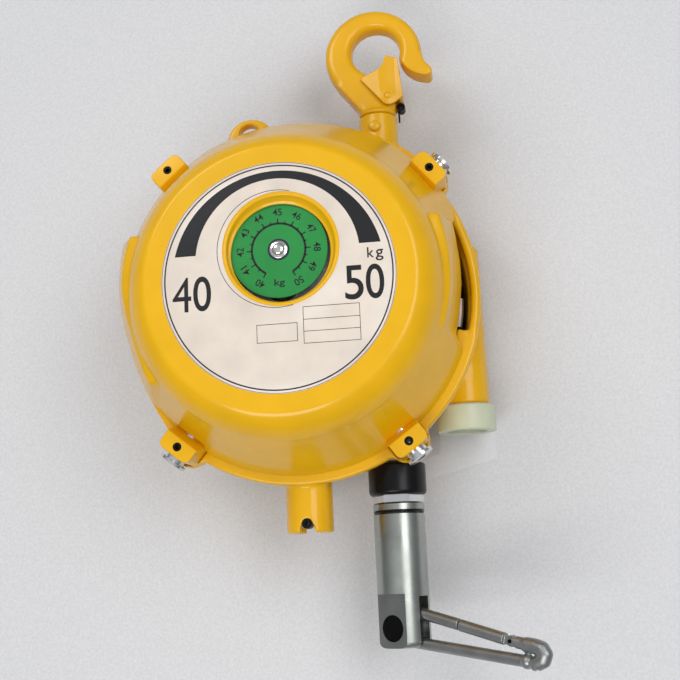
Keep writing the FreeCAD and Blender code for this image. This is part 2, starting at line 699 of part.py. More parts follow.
def dial_work():
    pinion = gear("dial_pinion", disc(3.5, d.dial_module * (d.pinion_teeth / 2 + 0.9),
                                      12.0, 16.0),
                  d.dial_module, d.pinion_teeth, 11.0, 6.0, on_axis(), "Y", 0.78)
    keep("dial_pinion", pinion)
    wheel = gear("dial_gear", [
        (2.0, 8.2), (8.0, 8.2), (8.0, 12.0), (d.dial_module * (d.dial_teeth / 2 + 0.9), 12.0),
        (d.dial_module * (d.dial_teeth / 2 + 0.9), 16.0), (3.0, 16.0), (3.0, 27.0),
        (0.0, 27.0), (0.0, 13.0), (2.0, 13.0)],
        d.dial_module, d.dial_teeth, 11.9, 6.0, on_axis(0, 0, d.dial_up), "Y", 0.78)
    keep("dial_gear", wheel)
    centre = on_axis(0, 0, d.dial_up)
    keep("dial_plate", turned("dial_plate", disc(2.0, d.dial_rim, d.dial_depth,
                                                 d.dial_depth + 1.2), centre, "Y"))
    keep("dial_washer", turned("dial_washer", disc(2.0, 5.4, d.dial_depth - 0.7,
                                                   d.dial_depth), centre, "Y"))
    head = d.dial_depth - 0.7
    screw = turned("dial_screw", [
        (0.0, head - 2.2), (2.2, head - 2.0), (3.6, head - 0.9), (3.6, head), (2.0, head),
        (2.0, 12.5), (0.0, 12.5)], centre, "Y")
    pocket(screw, [[(-2.0, -0.4), (2.0, -0.4), (2.0, 0.4), (-2.0, 0.4)],
                   ], 1.2, head - 2.4)
    keep("dial_screw", screw)
    keep("spindle_clip", turned("spindle_clip", disc(3.0, 5.2, 25.6, 26.8), centre, "Y"))


# ---- spring barrel and rope drum --------------------------------------------------------

SPRING_TURNS = 8


def spring_drum():
    rope = [(24.0, 84.0), (d.flange_drum - 1, 84.0), (d.flange_drum, 85.0),
            (d.flange_drum, 91.0), (d.flange_drum - 1, 92.0), (72.0, 92.0), (68.0, 95.0),
            (d.wire_pitch - 2.5, 95.0), (d.wire_pitch - 2.5, 125.0), (72.0, 125.0),
            (72.0, 129.0), (24.0, 129.0)]
    drum = turned("rope_drum", rope, on_axis(), "Y")
    half = 4.7
    notch = pocket(drum, [[(d.tube_x - half, 105.0), (d.tube_x + half, 105.0),
                           (d.tube_x + half, 118.0), (d.tube_x - half, 118.0)]], 12.0, 82.0)
    around(drum, notch, d.lock_notches)
    keep("rope_drum", drum)
    keep("spring_barrel", turned("spring_barrel", [
        (d.barrel_rim - 4, 34.0), (d.barrel_rim, 34.0), (d.barrel_rim, 84.0),
        (d.barrel_rim - 4, 84.0)], on_axis(), "Y"))
    keep("barrel_lid", turned("barrel_lid", [
        (24.0, 30.5), (d.barrel_rim - 2, 30.5), (d.barrel_rim, 32.0), (d.barrel_rim, 34.0),
        (30.0, 34.0), (30.0, 40.0), (24.0, 40.0)], on_axis(), "Y"))
    for name, low in (("front_bearing", 30.5), ("rear_bearing", 119.0)):
        keep(name, turned(name, [
            (d.shaft_rim + d.running, low), (16.0, low), (16.0, low + 0.6), (20.5, low + 0.6),
            (20.5, low), (24.0, low), (24.0, low + 9.5), (20.5, low + 9.5),
            (20.5, low + 8.9), (16.0, low + 8.9), (16.0, low + 9.5),
            (d.shaft_rim + d.running, low + 9.5)], on_axis(), "Y"))
    lobes = []
    for turn in range(5):
        middle = 98.0 + 6.0 * turn
        lobes += [(d.wire_pitch - 0.4, middle - 2.6), (d.wire_pitch + 2.3, middle - 1.0),
                  (d.wire_pitch + 2.3, middle + 1.0), (d.wire_pitch - 0.4, middle + 2.6)]
    keep("wound_wire", turned("wound_wire", [(d.wire_pitch - 2.5, 95.2)] + lobes +
                              [(d.wire_pitch - 2.5, 124.8)], on_axis(), "Y"))
    spiral_spring()


def spiral_spring():
    """Flat steel strip wound inwards in half turns, its first turn against the barrel."""
    step, strip, wide = 4.5, 2.0, 34.0
    outer = d.barrel_rim.value - 4.0
    edges = []
    ends = []
    for reach in (outer, outer - strip):
        flank = [V((reach - step * half) * (-1) ** half, 0, 0)
                 for half in range(2 * SPRING_TURNS)]
        for here, ahead in zip(flank, flank[1:]):
            middle = (here + ahead) * 0.5
            top = middle + V(0, (here - ahead).x / 2, 0)
            edges.append(Part.Arc(here, top, ahead).toShape())
        ends.append((flank[0], flank[-1]))
    edges += [Part.LineSegment(*pair).toShape() for pair in zip(*ends)]
    strip_face = Part.Face(Part.Wire(Part.__sortEdges__(edges)))
    item = doc.addObject("Part::Feature", "spiral_spring")
    item.Shape = strip_face.extrude(V(0, 0, wide))
    seat(item, on_axis(43.0), "Y")
    keep("spiral_spring", item)


# ---- drum lock --------------------------------------------------------------------------

def drum_lock():
    centre = on_axis(d.tube_depth, d.tube_x)
    plunger = turned("lock_plunger", [
        (0.0, -153.0), (7.4, -153.0), (8.94, -151.5), (8.94, -133.0), (4.0, -133.0),
        (4.0, -117.0), (2.6, -115.2), (0.0, -115.2)], centre)
    flat = block("plunger_flat", 20.0, 6.0, 8.0,
                 on_axis(d.tube_depth - 12.0, d.tube_x - 10, -154.0))
    cross = rod("plunger_cross", 1.8, 30.0, on_axis(d.tube_depth, d.tube_x - 15, -148.5), "X")
    keep("lock_plunger", cut("lock_plunger", plunger, flat, cross))
    keep("lock_pin", turned("lock_pin", disc(1.2, 3.4, 0.0, 9.8),
                            on_axis(d.tube_depth - 15.9, d.tube_x, d.tube_end + 5.8), "Y"))
    coil = turned("lock_spring", [(4.6, -133.0), (8.4, -133.0), (8.4, -121.0), (4.6, -121.0)],
                  centre)
    keep("lock_spring", coil)


# ---- top hook ---------------------------------------------------------------------------

def top_hook():
    half = d.hook_thick / 2
    rim, bowl = d.hook_rim, d.bowl
    left, right, middle = -0.8 - rim, -0.8 + rim, -20.8
    body = new_body("hook_blank")
    pad(body, [[
        (-14.0, -63.6), (-14.0, -66.0 + 5, -16.0), (-18.2, -56.8), (-29.1, -42.9, -rim),
        (left, middle, -rim), (-0.8, rim + middle, -rim), (right, middle),
        (36.4, -29.0), (40.5, -33.6, -4.1), (36.6, -40.8, -22.5), (17.9, -24.2, bowl),
        (1.0, 0.0, bowl), (1.0 - bowl, -bowl, bowl), (-9.3, -32.7), (8.0, -44.8, -14.1),
        (14.0, -56.3), (14.0, -63.6)]], d.hook_thick, -half, "XZ_Plane")
    centre = V(1.0, 0, -bowl.value)

    def on_bowl(edge):
        return (abs(abs(edge.CenterOfMass.y) - half.value) < 0.01
                and all((vertex.Point - centre - V(0, vertex.Y, 0)).Length
                        < bowl.value + 0.1 for vertex in edge.Vertexes))

    soften(body, 3.6, on_bowl, "Chamfer")
    ease, over = 5.0, 0.5
    rings = [turned("rim_ease", [
        (rim, side * (half - ease), side * ease), (rim - ease, side * half),
        (rim - ease, side * (half + over)), (rim + over, side * (half + over)),
        (rim + over, side * (half - ease))], (-0.8, 0.0, middle), "Y") for side in (1, -1)]
    eased = cut("rim_tool", fuse("rim_rings", *rings),
                block("rim_stop", 100.0, 40.0, 40.0, (-50.0, -20.0, -82.6)),
                block("tip_stop", 40.0, 40.0, 40.0, (0.0, -20.0, -62.0)))
    stem = turned("stem", [
        (0.0, -129.0), (d.stem_rim - 1, -129.0), (d.stem_rim, -128.0), (d.stem_rim, -83.4),
        (5.6, -82.6), (5.6, -76.4), (d.stem_rim, -75.6), (d.stem_rim, d.collar_top + 0.4),
        (13.6, d.collar_top + 0.4), (13.6, -58.0), (10.0, -54.0), (0.0, -54.0)],
        (0.0, 0.0, 0.0))
    solid = fuse("hook_solid", cut("hook_eased", body, eased), stem)
    hole = rod("latch_hole", 2.4, 40.0, (9.0, -20.0, -56.0), "Y")
    flats = [block("latch_flat", 36.0, 6.7, 15.0, (-12.0, side, -65.0))
             for side in (half + 0.3, -half - 7.0)]
    keep("top_hook", cut("top_hook", solid, hole, *flats))
    nut = plate("hook_nut", [[(9.0 * math.cos(math.radians(60 * turn)) / 0.75,
                               9.0 * math.sin(math.radians(60 * turn)) / 0.75)
                              for turn in range(6)], (0.0, 0.0, d.stem_rim)], 10.0,
                (0.0, 0.0, -125.3))
    keep("hook_nut", nut)


def hook_latch():
    """Folded sheet: two cheeks over the hook's faces, joined by a web along the mouth."""
    sheet, wide = 1.8, 11.4
    body = new_body("hook_latch")
    cheek = [(19.9, -57.5), (17.2, -26.8), (8.6, -24.4), (6.6, -30.0, -13.0),
             (-3.0, -37.2), (-11.0, -41.0), (5.0, -61.0, 6.4), (13.6, -61.4)]
    pad(body, [cheek], 2 * wide, -wide, "XZ_Plane")
    pocket(body, [[(17.6, -66.0), (15.2, -23.0), (-14.0, -23.0), (-14.0, -66.0)]],
           2 * (wide - sheet), -(wide - sheet), "XZ_Plane")
    hole = rod("latch_bore", 2.5, 40.0, (9.0, -20.0, -56.0), "Y")
    keep("hook_latch", cut("hook_latch", body, hole))
    half = wide + 0.1
    keep("latch_rivet", turned("latch_rivet", [
        (0.0, -half - 1.9), (2.0, -half - 1.6), (3.6, -half), (2.4, -half), (2.4, half),
        (3.6, half), (2.0, half + 1.6), (0.0, half + 1.9)], (9.0, 0.0, -56.0), "Y"))
    leg = rod("spring_leg", 0.7, 9.0, (15.8, 0.0, -73.0))
    coil = turned("spring_coil", disc(1.2, 3.0, -4.0, 4.0), (17.6, 0.0, -62.4), "Y")
    keep("latch_spring", fuse("latch_spring", leg, coil))


# ---- stopper, swivel and snap link ------------------------------------------------------

FORK_TURN = FreeCAD.Rotation(V(0, 0, 1), -34.0)
LINK_PLANE = FORK_TURN.multiply(FreeCAD.Rotation(V(1, 0, 0), 90))
PIN_CENTRE = (0.0, 0.0, d.pin_z)


def stopper_parts():
    keep("stopper", turned("stopper", [
        (3.0, d.stopper_end), (d.stopper_rim - 3.2, d.stopper_end, 3.2),
        (d.stopper_rim, d.stopper_end + 3.2), (d.stopper_rim, d.stopper_top - 2, 2.0),
        (d.stopper_rim - 2, d.stopper_top), (3.0, d.stopper_top)], (0.0, 0.0, 0.0)))
    corner = 17.6
    hexagon = [(corner * math.cos(math.radians(60 * turn)),
                corner * math.sin(math.radians(60 * turn))) for turn in range(6)]
    nut = plate("stopper_nut", [hexagon, (0.0, 0.0, 3.0)],
                d.stopper_end - d.swivel_top, (0.0, 0.0, d.swivel_top))
    keep("stopper_nut", nut)
    keep("swivel_cap", turned("swivel_cap", [
        (8.0, d.swivel_seam), (d.swivel_rim, d.swivel_seam), (d.swivel_rim, d.swivel_top - 1.2),
        (d.swivel_rim - 1.2, d.swivel_top), (3.0, d.swivel_top), (3.0, d.swivel_top - 2),
        (8.0, d.swivel_top - 2)], (0.0, 0.0, 0.0)))
    keep("swivel_stud", turned("swivel_stud", [
        (0.0, -402.0), (9.5, -402.0), (9.5, -394.2), (7.0, -394.2), (7.0, -353.0),
        (3.0, -352.6), (3.0, -340.0), (0.0, -340.0)], (0.0, 0.0, 0.0)))
    keep("wire_lead", turned("wire_lead", disc(0.0, d.wire_rim, -340.0, -238.0),
                             (0.0, 0.0, 0.0)))


def swivel():
    """Turned cylinder with milled flats, a hollow for the stud and a slot for the link."""
    low = d.fork_end
    body = turned("swivel_blank", [
        (0.0, low), (d.swivel_rim - 4, low, 4.0), (d.swivel_rim, low + 4),
        (d.swivel_rim, d.swivel_seam - 2.8), (d.swivel_rim - 1.6, d.swivel_seam - 2.2),
        (d.swivel_rim - 1.6, d.swivel_seam - 0.5), (8.0, d.swivel_seam - 0.5),
        (8.0, -388.0), (12.0, -388.0), (12.0, -406.0), (0.0, -406.0)], (0.0, 0.0, 0.0))
    gap = d.fork_gap
    tools = []
    for side in (d.fork_flat, -d.fork_flat - 12):
        flat = block("fork_flat", 60.0, 60.0, 12.0, (0.0, 0.0, 0.0), LINK_PLANE)
        base = LINK_PLANE.multVec(V(-30, -471.5, side.value))
        seat(flat, (base.x, base.y, base.z), LINK_PLANE)
        tools.append(flat)
    base = LINK_PLANE.multVec(V(-30, -450, -gap.value))
    tools.append(block("fork_slot", 60.0, 36.6, gap * 2, (base.x, base.y, base.z),
                       LINK_PLANE))
    tools.append(turned("pin_bore", disc(0.0, 5.0, -30.0, 30.0), PIN_CENTRE, LINK_PLANE))
    for low_end in (d.fork_flat - 2.5, -d.fork_flat - 1.5):
        tools.append(turned("pin_recess", disc(0.0, 8.85, low_end, low_end + 4),
                            PIN_CENTRE, LINK_PLANE))
    keep("swivel_body", cut("swivel_body", body, *tools))
    keep("swivel_oring", turned("swivel_oring", [
        (d.swivel_rim - 1.6, d.swivel_seam - 2.1), (d.swivel_rim - 0.5, d.swivel_seam - 2.1),
        (d.swivel_rim - 0.1, d.swivel_seam - 1.3), (d.swivel_rim - 0.5, d.swivel_seam - 0.6),
        (d.swivel_rim - 1.6, d.swivel_seam - 0.6)], (0.0, 0.0, 0.0)))
    keep("swivel_bearing", turned("swivel_bearing", disc(7.06, 12.0, -394.0, -388.0),
                                  (0.0, 0.0, 0.0)))
    end = d.fork_flat - 0.8
    keep("fork_pin", turned("fork_pin", [
        (0.0, -end), (8.4, -end), (8.8, -end + 0.4), (8.8, -end + 1.6), (5.0, -end + 1.6),
        (5.0, end - 1.6), (8.8, end - 1.6), (8.8, end - 0.4), (8.4, end), (0.0, end)],
        PIN_CENTRE, LINK_PLANE))


def along_link(start, end, radius, name):
    """A round bar between two points (s, z) of the link's plane."""
    turn = LINK_PLANE
    first, last = V(start[0], start[1], 0), V(end[0], end[1], 0)
    run = last - first
    point = turn.multVec(first)
    heading = FreeCAD.Rotation(V(0, 0, 1), turn.multVec(run))
    item = rod(name, radius, run.Length, (point.x, point.y, point.z), heading)
    return item


def ball(name, at, radius):
    point = LINK_PLANE.multVec(V(at[0], at[1], 0))
    item = doc.addObject("Part::Sphere", name)
    bind(item, "Radius", radius)
    return seat(item, (point.x, point.y, point.z))


HINGE = (85.0, -442.6)
NOSE = (45.5, -432.5)
BOW_RIM = 4.8
BOW = ((95.0, -454.9), (101.5, -456.2), (106.4, -454.2), (108.0, -450.6), (106.0, -447.2),
       (101.5, -445.8), (95.5, -444.9))


def snap_link():
    """Forged link: eye, long leg, tight bow and the nose that the gate closes on."""
    bar = d.link_rod
    eye = turned("link_eye", [(5.0 + d.running, -4.6), (9.6, -4.6), (11.0, -3.2), (11.0, 3.2),
                              (9.6, 4.6), (5.0 + d.running, 4.6)], PIN_CENTRE, LINK_PLANE)
    leg = along_link((6.0, -443.4), BOW[0], bar, "link_leg")
    bow_top = along_link(HINGE, BOW[-1], bar, "link_top")
    bow = [along_link(start, end, BOW_RIM, "link_bow") for start, end in zip(BOW, BOW[1:])]
    joints = [ball("link_joint", place, BOW_RIM) for place in BOW]
    nose = along_link((4.5, -422.4), NOSE, bar, "link_nose")
    lobe = ball("link_lobe", (4.0, -424.8), 4.7)
    solid = fuse("link_solid", leg, bow_top, *bow, *joints, nose, lobe)
    bore = turned("link_bore", disc(0.0, 9.0, -8.0, 8.0), PIN_CENTRE, LINK_PLANE)
    body = fuse("link_body", cut("link_bored", solid, bore), eye)
    point = LINK_PLANE.multVec(V(HINGE[0], HINGE[1], 0))
    room = turned("hinge_room", disc(0.0, 4.6, -2.1, 2.1), (point.x, point.y, point.z),
                  LINK_PLANE)
    pin_hole = turned("hinge_bore", disc(0.0, 1.2, -9.0, 9.0), (point.x, point.y, point.z),
                      LINK_PLANE)
    keep("snap_link", cut("snap_link", body, room, pin_hole))
    keep("gate_pin", turned("gate_pin", disc(0.0, 1.2, -4.0, 4.0),
                            (point.x, point.y, point.z), LINK_PLANE))
    bar_start = (79.8, -441.4)
    bar_end = (46.1, -432.8)
    shank = along_link(bar_start, bar_end, bar, "gate_bar")
    tongue = turned("gate_tongue", disc(1.2 + d.running, 3.6, -1.9, 1.9),
                    (point.x, point.y, point.z), LINK_PLANE)
    neck = new_body("gate_neck", (0.0, 0.0, 0.0), LINK_PLANE)
    pad(neck, [[(76.0, -443.4), (82.2, -445.0), (82.4, -439.6), (76.0, -438.2)]], 3.8, -1.9)
    keep("snap_gate", fuse("snap_gate", shank, tongue, neck))


# ---- build ------------------------------------------------------------------------------

front_cover()
rear_case()
scale_label()
cover_fasteners()
hook_fittings()
wire_guide()
worm_fittings()
rear_fittings()
shaft_support()
main_shaft()
worm_drive()
dial_work()
spring_drum()
drum_lock()
top_hook()
hook_latch()
stopper_parts()
swivel()
snap_link()
doc.recompute()

faulty = [item.Name for item in doc.Objects
          if "Invalid" in item.State or "Error" in item.State]
faulty += [name for name, item in nodes.items()
           if item.Shape.isNull() or not item.Shape.isValid()]
if faulty:
    raise RuntimeError("not sound: " + ", ".join(faulty))

os.makedirs("parts", exist_ok=True)
for name, item in nodes.items():
    item.Shape.exportStep(f"parts/{name}.step")
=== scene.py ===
# %% [markdown]
# # A tool balancer, dressed in Blender
#
# A tool balancer hangs over a workbench and carries the weight of a hand tool on a steel
# wire.  A spring in the yellow housing winds the wire back in.  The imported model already
# holds every piece at its true size, so this lesson loads it as a frame, keeps the solids
# that look right, and builds finer pieces over the ones that the eye rests on: the cast
# cover, the forged hook, the printed label and the plated swivel with its snap link.

# %% Load the frame
import json
import math

import bmesh
import bpy
import numpy as np
from mathutils import Matrix, Vector


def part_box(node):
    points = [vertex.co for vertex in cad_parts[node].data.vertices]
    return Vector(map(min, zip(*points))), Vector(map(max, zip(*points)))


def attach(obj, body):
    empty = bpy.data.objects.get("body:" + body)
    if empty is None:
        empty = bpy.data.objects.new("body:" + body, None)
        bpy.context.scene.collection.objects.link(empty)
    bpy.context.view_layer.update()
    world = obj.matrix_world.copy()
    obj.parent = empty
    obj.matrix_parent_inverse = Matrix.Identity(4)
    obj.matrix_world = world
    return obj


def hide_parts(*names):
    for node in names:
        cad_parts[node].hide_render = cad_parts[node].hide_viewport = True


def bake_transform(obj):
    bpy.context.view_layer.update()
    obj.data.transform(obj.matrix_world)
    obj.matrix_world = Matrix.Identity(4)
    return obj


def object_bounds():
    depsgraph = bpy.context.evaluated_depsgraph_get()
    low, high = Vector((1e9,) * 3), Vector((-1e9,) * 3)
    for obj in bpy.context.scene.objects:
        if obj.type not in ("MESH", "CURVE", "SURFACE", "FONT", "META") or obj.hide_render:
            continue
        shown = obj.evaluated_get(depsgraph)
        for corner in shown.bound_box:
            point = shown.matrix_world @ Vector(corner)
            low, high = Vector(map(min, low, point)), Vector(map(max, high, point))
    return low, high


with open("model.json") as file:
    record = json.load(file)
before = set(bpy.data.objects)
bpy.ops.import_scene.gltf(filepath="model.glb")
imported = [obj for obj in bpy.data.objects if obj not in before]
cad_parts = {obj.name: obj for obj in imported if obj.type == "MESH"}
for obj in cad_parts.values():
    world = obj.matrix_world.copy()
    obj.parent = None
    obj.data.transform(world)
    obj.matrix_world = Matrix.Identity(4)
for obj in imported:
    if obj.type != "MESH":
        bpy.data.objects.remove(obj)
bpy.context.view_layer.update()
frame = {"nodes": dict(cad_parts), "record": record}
nodes = frame["nodes"]
MM = 0.001

# %% [markdown]
# Everything is placed from the frame.  The drum turns on the main shaft, so the shaft's
# box gives the drum's axis, and the label's box gives the front plane.  From here on,
# `depth` is measured along that axis from the label, towards the back.

# %% Find the drum's axis and the front plane


def middle(node):
    """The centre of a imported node's box."""
    low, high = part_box(node)
    return (low + high) / 2


AXIS = middle("main_shaft")
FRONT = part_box("scale_label")[0].y
DIAL = middle("dial_plate")
LABEL_RADIUS = (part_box("scale_label")[1].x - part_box("scale_label")[0].x) / 2


def at(depth, right=0.0, up=0.0):
    """A point by its depth and its offset from the drum's axis, in millimetres."""
    return Vector((AXIS.x + right * MM, FRONT + depth * MM, AXIS.z + up * MM))


print("drum axis", AXIS, "label radius", round(LABEL_RADIUS / MM, 1), "mm")

# %% [markdown]
# ## Materials
#
# Each finish is a small node tree.  `finish` makes the material and its shader, and the
# helpers after it add what all finishes need: a noise that varies a colour, and fine
# bumps.  Noise is read in object coordinates, which here are metres, so a scale of 1000
# gives bumps about a millimetre across.

# %% Helpers for node trees


def finish(name, color, rough, metal=0.0, coat=0.0):
    """A new material with a Principled shader."""
    material = bpy.data.materials.new(name)
    material.use_nodes = True
    shader = material.node_tree.nodes["Principled BSDF"]
    shader.inputs["Base Color"].default_value = (*color, 1.0)
    shader.inputs["Roughness"].default_value = rough
    shader.inputs["Metallic"].default_value = metal
    shader.inputs["Coat Weight"].default_value = coat
    shader.inputs["Coat Roughness"].default_value = 0.06
    shader.inputs["IOR"].default_value = 1.5
    return material


def node(material, kind, **settings):
    """Add a node and set its inputs by name."""
    made = material.node_tree.nodes.new("ShaderNode" + kind)
    for label, value in settings.items():
        made.inputs[label.replace("_", " ")].default_value = value
    return made


def wire(material, source, output, target, socket):
    """Join two sockets by their names."""
    material.node_tree.links.new(source.outputs[output], target.inputs[socket])


def noise(material, scale, detail=2.0, stretch=(1.0, 1.0, 1.0)):
    """Noise in object space, stretched along the axes if asked."""
    place = node(material, "TexCoord")
    warp = node(material, "Mapping", Scale=stretch)
    made = node(material, "TexNoise", Scale=scale, Detail=detail)
    wire(material, place, "Object", warp, "Vector")
    wire(material, warp, "Vector", made, "Vector")
    return made


def vary_color(material, source, stops):
    """Colour the base by a ramp over a noise: stops are (position, colour)."""
    ramp = node(material, "ValToRGB")
    elements = ramp.color_ramp.elements
    while len(elements) < len(stops):
        elements.new(0.5)
    for element, (position, color) in zip(elements, stops):
        element.position = position
        element.color = (*color, 1.0)
    wire(material, source, "Fac", ramp, "Fac")
    shader = material.node_tree.nodes["Principled BSDF"]
    wire(material, ramp, "Color", shader, "Base Color")


def vary_rough(material, source, low, high):
    """Spread a noise over a range of roughness."""
    spread = node(material, "MapRange")
    spread.inputs["To Min"].default_value = low
    spread.inputs["To Max"].default_value = high
    wire(material, source, "Fac", spread, "Value")
    wire(material, spread, "Result", material.node_tree.nodes["Principled BSDF"],
         "Roughness")


def add_bump(material, source, height_mm, strength):
    """Turn a noise into fine bumps of a height in millimetres."""
    bump = node(material, "Bump", Strength=strength, Distance=height_mm * MM)
    wire(material, source, "Fac", bump, "Height")
    wire(material, bump, "Normal", material.node_tree.nodes["Principled BSDF"], "Normal")


# %% [markdown]
# The housing is cast, primed and sprayed with a glossy yellow enamel.  Spray paint is
# never quite flat: it has an orange-peel ripple a few millimetres wide, and its colour is
# a touch deeper where the coat is thick.  A coat layer gives the sharp reflections over
# the softer ones of the pigment.

# %% Yellow enamel
YELLOW = (0.82, 0.445, 0.004)


def enamel(name, color, ripple_mm, rough):
    """Glossy paint with a slight mottling and an orange-peel ripple."""
    material = finish(name, color, rough, coat=0.16)
    shader = material.node_tree.nodes["Principled BSDF"]
    shader.inputs["Specular IOR Level"].default_value = 0.3
    deep = tuple(channel * 0.955 for channel in color)
    light = tuple(min(channel * 1.02, 1.0) for channel in color)
    vary_color(material, noise(material, 38.0, 3.0), [(0.35, deep), (0.65, light)])
    add_bump(material, noise(material, 420.0, 2.0), ripple_mm, 0.35)
    return material


paint = enamel("yellow_enamel", YELLOW, 0.04, 0.24)
hook_paint = enamel("hook_enamel", (0.80, 0.42, 0.006), 0.08, 0.26)
print("enamel ready")

# %% [markdown]
# Plated and machined steel show how they were made.  Turning leaves fine rings round the
# axis, so the noise is squeezed along Z and long across it.  Zinc plating adds cloudy
# patches of slightly different roughness.

# %% Metals


def turned_metal(name, color, rough, ring=(0.02, 0.02, 1.0), scale=2600.0):
    """Metal with cloudy patches and tool marks; `ring` says which way the marks run."""
    material = finish(name, color, rough, metal=1.0)
    cloud = noise(material, 60.0, 4.0)
    dark = tuple(channel * 0.82 for channel in color)
    vary_color(material, cloud, [(0.30, dark), (0.70, color)])
    vary_rough(material, noise(material, 95.0, 3.0), rough * 0.7, rough * 1.35)
    add_bump(material, noise(material, scale, 1.0, ring), 0.012, 0.5)
    return material


zinc = turned_metal("zinc_plate", (0.56, 0.58, 0.60), 0.27)
bright = turned_metal("bright_plate", (0.82, 0.82, 0.83), 0.12)
steel = turned_metal("machined_steel", (0.50, 0.51, 0.53), 0.32, (1.0, 0.02, 0.02))
galvanised = turned_metal("galvanised_steel", (0.36, 0.37, 0.37), 0.42,
                          (1.0, 1.0, 1.0), 900.0)
swivel_steel = turned_metal("ground_steel", (0.43, 0.45, 0.42), 0.30,
                            (1.0, 1.0, 0.02), 1500.0)
blued = turned_metal("blued_spring", (0.10, 0.11, 0.14), 0.35)
iron = turned_metal("cut_iron", (0.28, 0.28, 0.29), 0.45, (1.0, 0.05, 1.0))
gold = turned_metal("brass_gear", (0.78, 0.56, 0.22), 0.28)
bronze = turned_metal("bronze_bush", (0.62, 0.40, 0.18), 0.34)
cast = turned_metal("raw_casting", (0.60, 0.61, 0.62), 0.46, (1.0, 1.0, 1.0), 700.0)
black_pin = turned_metal("black_oxide", (0.018, 0.018, 0.018), 0.38)

# %% [markdown]
# The rubber stopper, the nylon fittings, the film of the label and the clear sheet are
# all plastics.  They differ in gloss, in how far light gets into them, and in grain.

# %% Plastics and rubber


def molded(name, color, rough, grain_mm=0.02, grain=1500.0, glow=0.0):
    """Plastic, rubber or ink with a fine grain; `glow` lets light into it."""
    material = finish(name, color, rough)
    shade = tuple(channel * 0.88 for channel in color)
    vary_color(material, noise(material, 55.0, 4.0), [(0.3, shade), (0.7, color)])
    add_bump(material, noise(material, grain, 2.0), grain_mm, 0.4)
    if glow:
        shader = material.node_tree.nodes["Principled BSDF"]
        shader.inputs["Subsurface Weight"].default_value = glow
        shader.inputs["Subsurface Radius"].default_value = (0.9, 1.0, 0.6)
        shader.inputs["Subsurface Scale"].default_value = 2.0 * MM
    return material


rubber = molded("black_rubber", (0.004, 0.004, 0.005), 0.30, 0.02, 900.0)
rubber.node_tree.nodes["Principled BSDF"].inputs["Specular IOR Level"].default_value = 0.25
nylon = molded("white_nylon", (0.72, 0.71, 0.66), 0.45, glow=0.2)
pale_nylon = molded("pale_green_nylon", (0.66, 0.70, 0.52), 0.40, glow=0.25)
film = molded("label_film", (0.80, 0.70, 0.60), 0.30, 0.01, 2400.0)
ink = molded("label_ink", (0.006, 0.006, 0.008), 0.28, 0.01, 2400.0)
# This dark blue is ink for the printed rings, and also painted shadow along the label
# film's edge.
blue_ink_and_shade = molded("blue_ink_and_shade", (0.010, 0.012, 0.040), 0.28, 0.01, 2400.0)
green = molded("green_dial", (0.018, 0.27, 0.052), 0.22, 0.01, 2400.0)
clear = finish("clear_sheet", (0.93, 0.94, 0.96), 0.10)
clear.node_tree.nodes["Principled BSDF"].inputs["Alpha"].default_value = 0.07
add_bump(clear, noise(clear, 90.0, 2.0), 0.4, 0.5)

# %% [markdown]
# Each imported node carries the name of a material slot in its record.  One table turns
# those slots into the finishes above, and every node gets the finish of its slot.

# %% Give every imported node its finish
FINISH_OF_SLOT = {
    "cast_yellow": paint, "hook_yellow": hook_paint, "printed_label": film,
    "bright_zinc": bright, "dark_pin": black_pin, "steel": steel, "zinc_steel": zinc,
    "spring_steel": blued, "iron": iron, "bronze": bronze, "brass": gold,
    "raw_casting": cast, "nylon": nylon, "pale_nylon": pale_nylon, "clear_sheet": clear,
    "green_dial": green, "black_rubber": rubber, "wire": steel,
}
SLOT_OF_NODE = {entry["node"]: entry["material_slot"]
                for entry in frame["record"]["subparts"]}
for name, item in nodes.items():
    item.data.materials.clear()
    item.data.materials.append(FINISH_OF_SLOT[SLOT_OF_NODE[name]])
for name in ("swivel_body", "swivel_cap"):
    nodes[name].data.materials[0] = swivel_steel
nodes["swivel_oring"].data.materials[0] = rubber
print(len(nodes), "nodes painted")

# %% [markdown]
# ## Building pieces
#
# A new piece is a mesh that takes its finish, says which body carries it and which packed
# nodes it stands for.  `show` does all three, so no piece is left without them.

# %% The helper that hangs a piece on the frame


def new_object(name, data):
    """A new object in the scene for a mesh, curve, lamp or camera."""
    item = bpy.data.objects.new(name, data)
    bpy.context.scene.collection.objects.link(item)
    return item


def show(piece, body, material, stands_for=()):
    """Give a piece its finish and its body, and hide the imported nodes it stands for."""
    piece.data.materials.clear()
    piece.data.materials.append(material)
    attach(piece, body)
    if stands_for:
        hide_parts(*stands_for)
    return piece


def mesh_piece(name, vertices, faces, sharp=None):
    """A mesh object from points and faces, shaded smooth below an angle in degrees."""
    mesh = bpy.data.meshes.new(name)
    mesh.from_pydata([tuple(vertex) for vertex in vertices], [], faces)
    mesh.validate()
    shape = bmesh.new()
    shape.from_mesh(mesh)
    bmesh.ops.recalc_face_normals(shape, faces=shape.faces)
    shape.to_mesh(mesh)
    shape.free()
    piece = new_object(name, mesh)
    smooth(piece, sharp)
    return piece


def smooth(piece, sharp=None):
    """Shade smooth, with hard edges over an angle in degrees."""
    piece.data.shade_smooth()
    if sharp is not None:
        piece.data.set_sharp_from_angle(angle=math.radians(sharp))


def bake_modifiers(piece):
    """Replace the mesh by what its modifiers make of it."""
    bpy.context.view_layer.update()
    seen = piece.evaluated_get(bpy.context.evaluated_depsgraph_get())
    mesh = bpy.data.meshes.new_from_object(seen)
    piece.modifiers.clear()
    piece.data = mesh


# %% [markdown]
# Most round pieces here are a stack of rings of points that closes on itself, like a
# dough ring: out along the front, round the rim and back along the inside.  `skin` joins
# any such stack, whatever the outline of its rings, and `circle` gives the usual ring.

# %% Skins made of rings


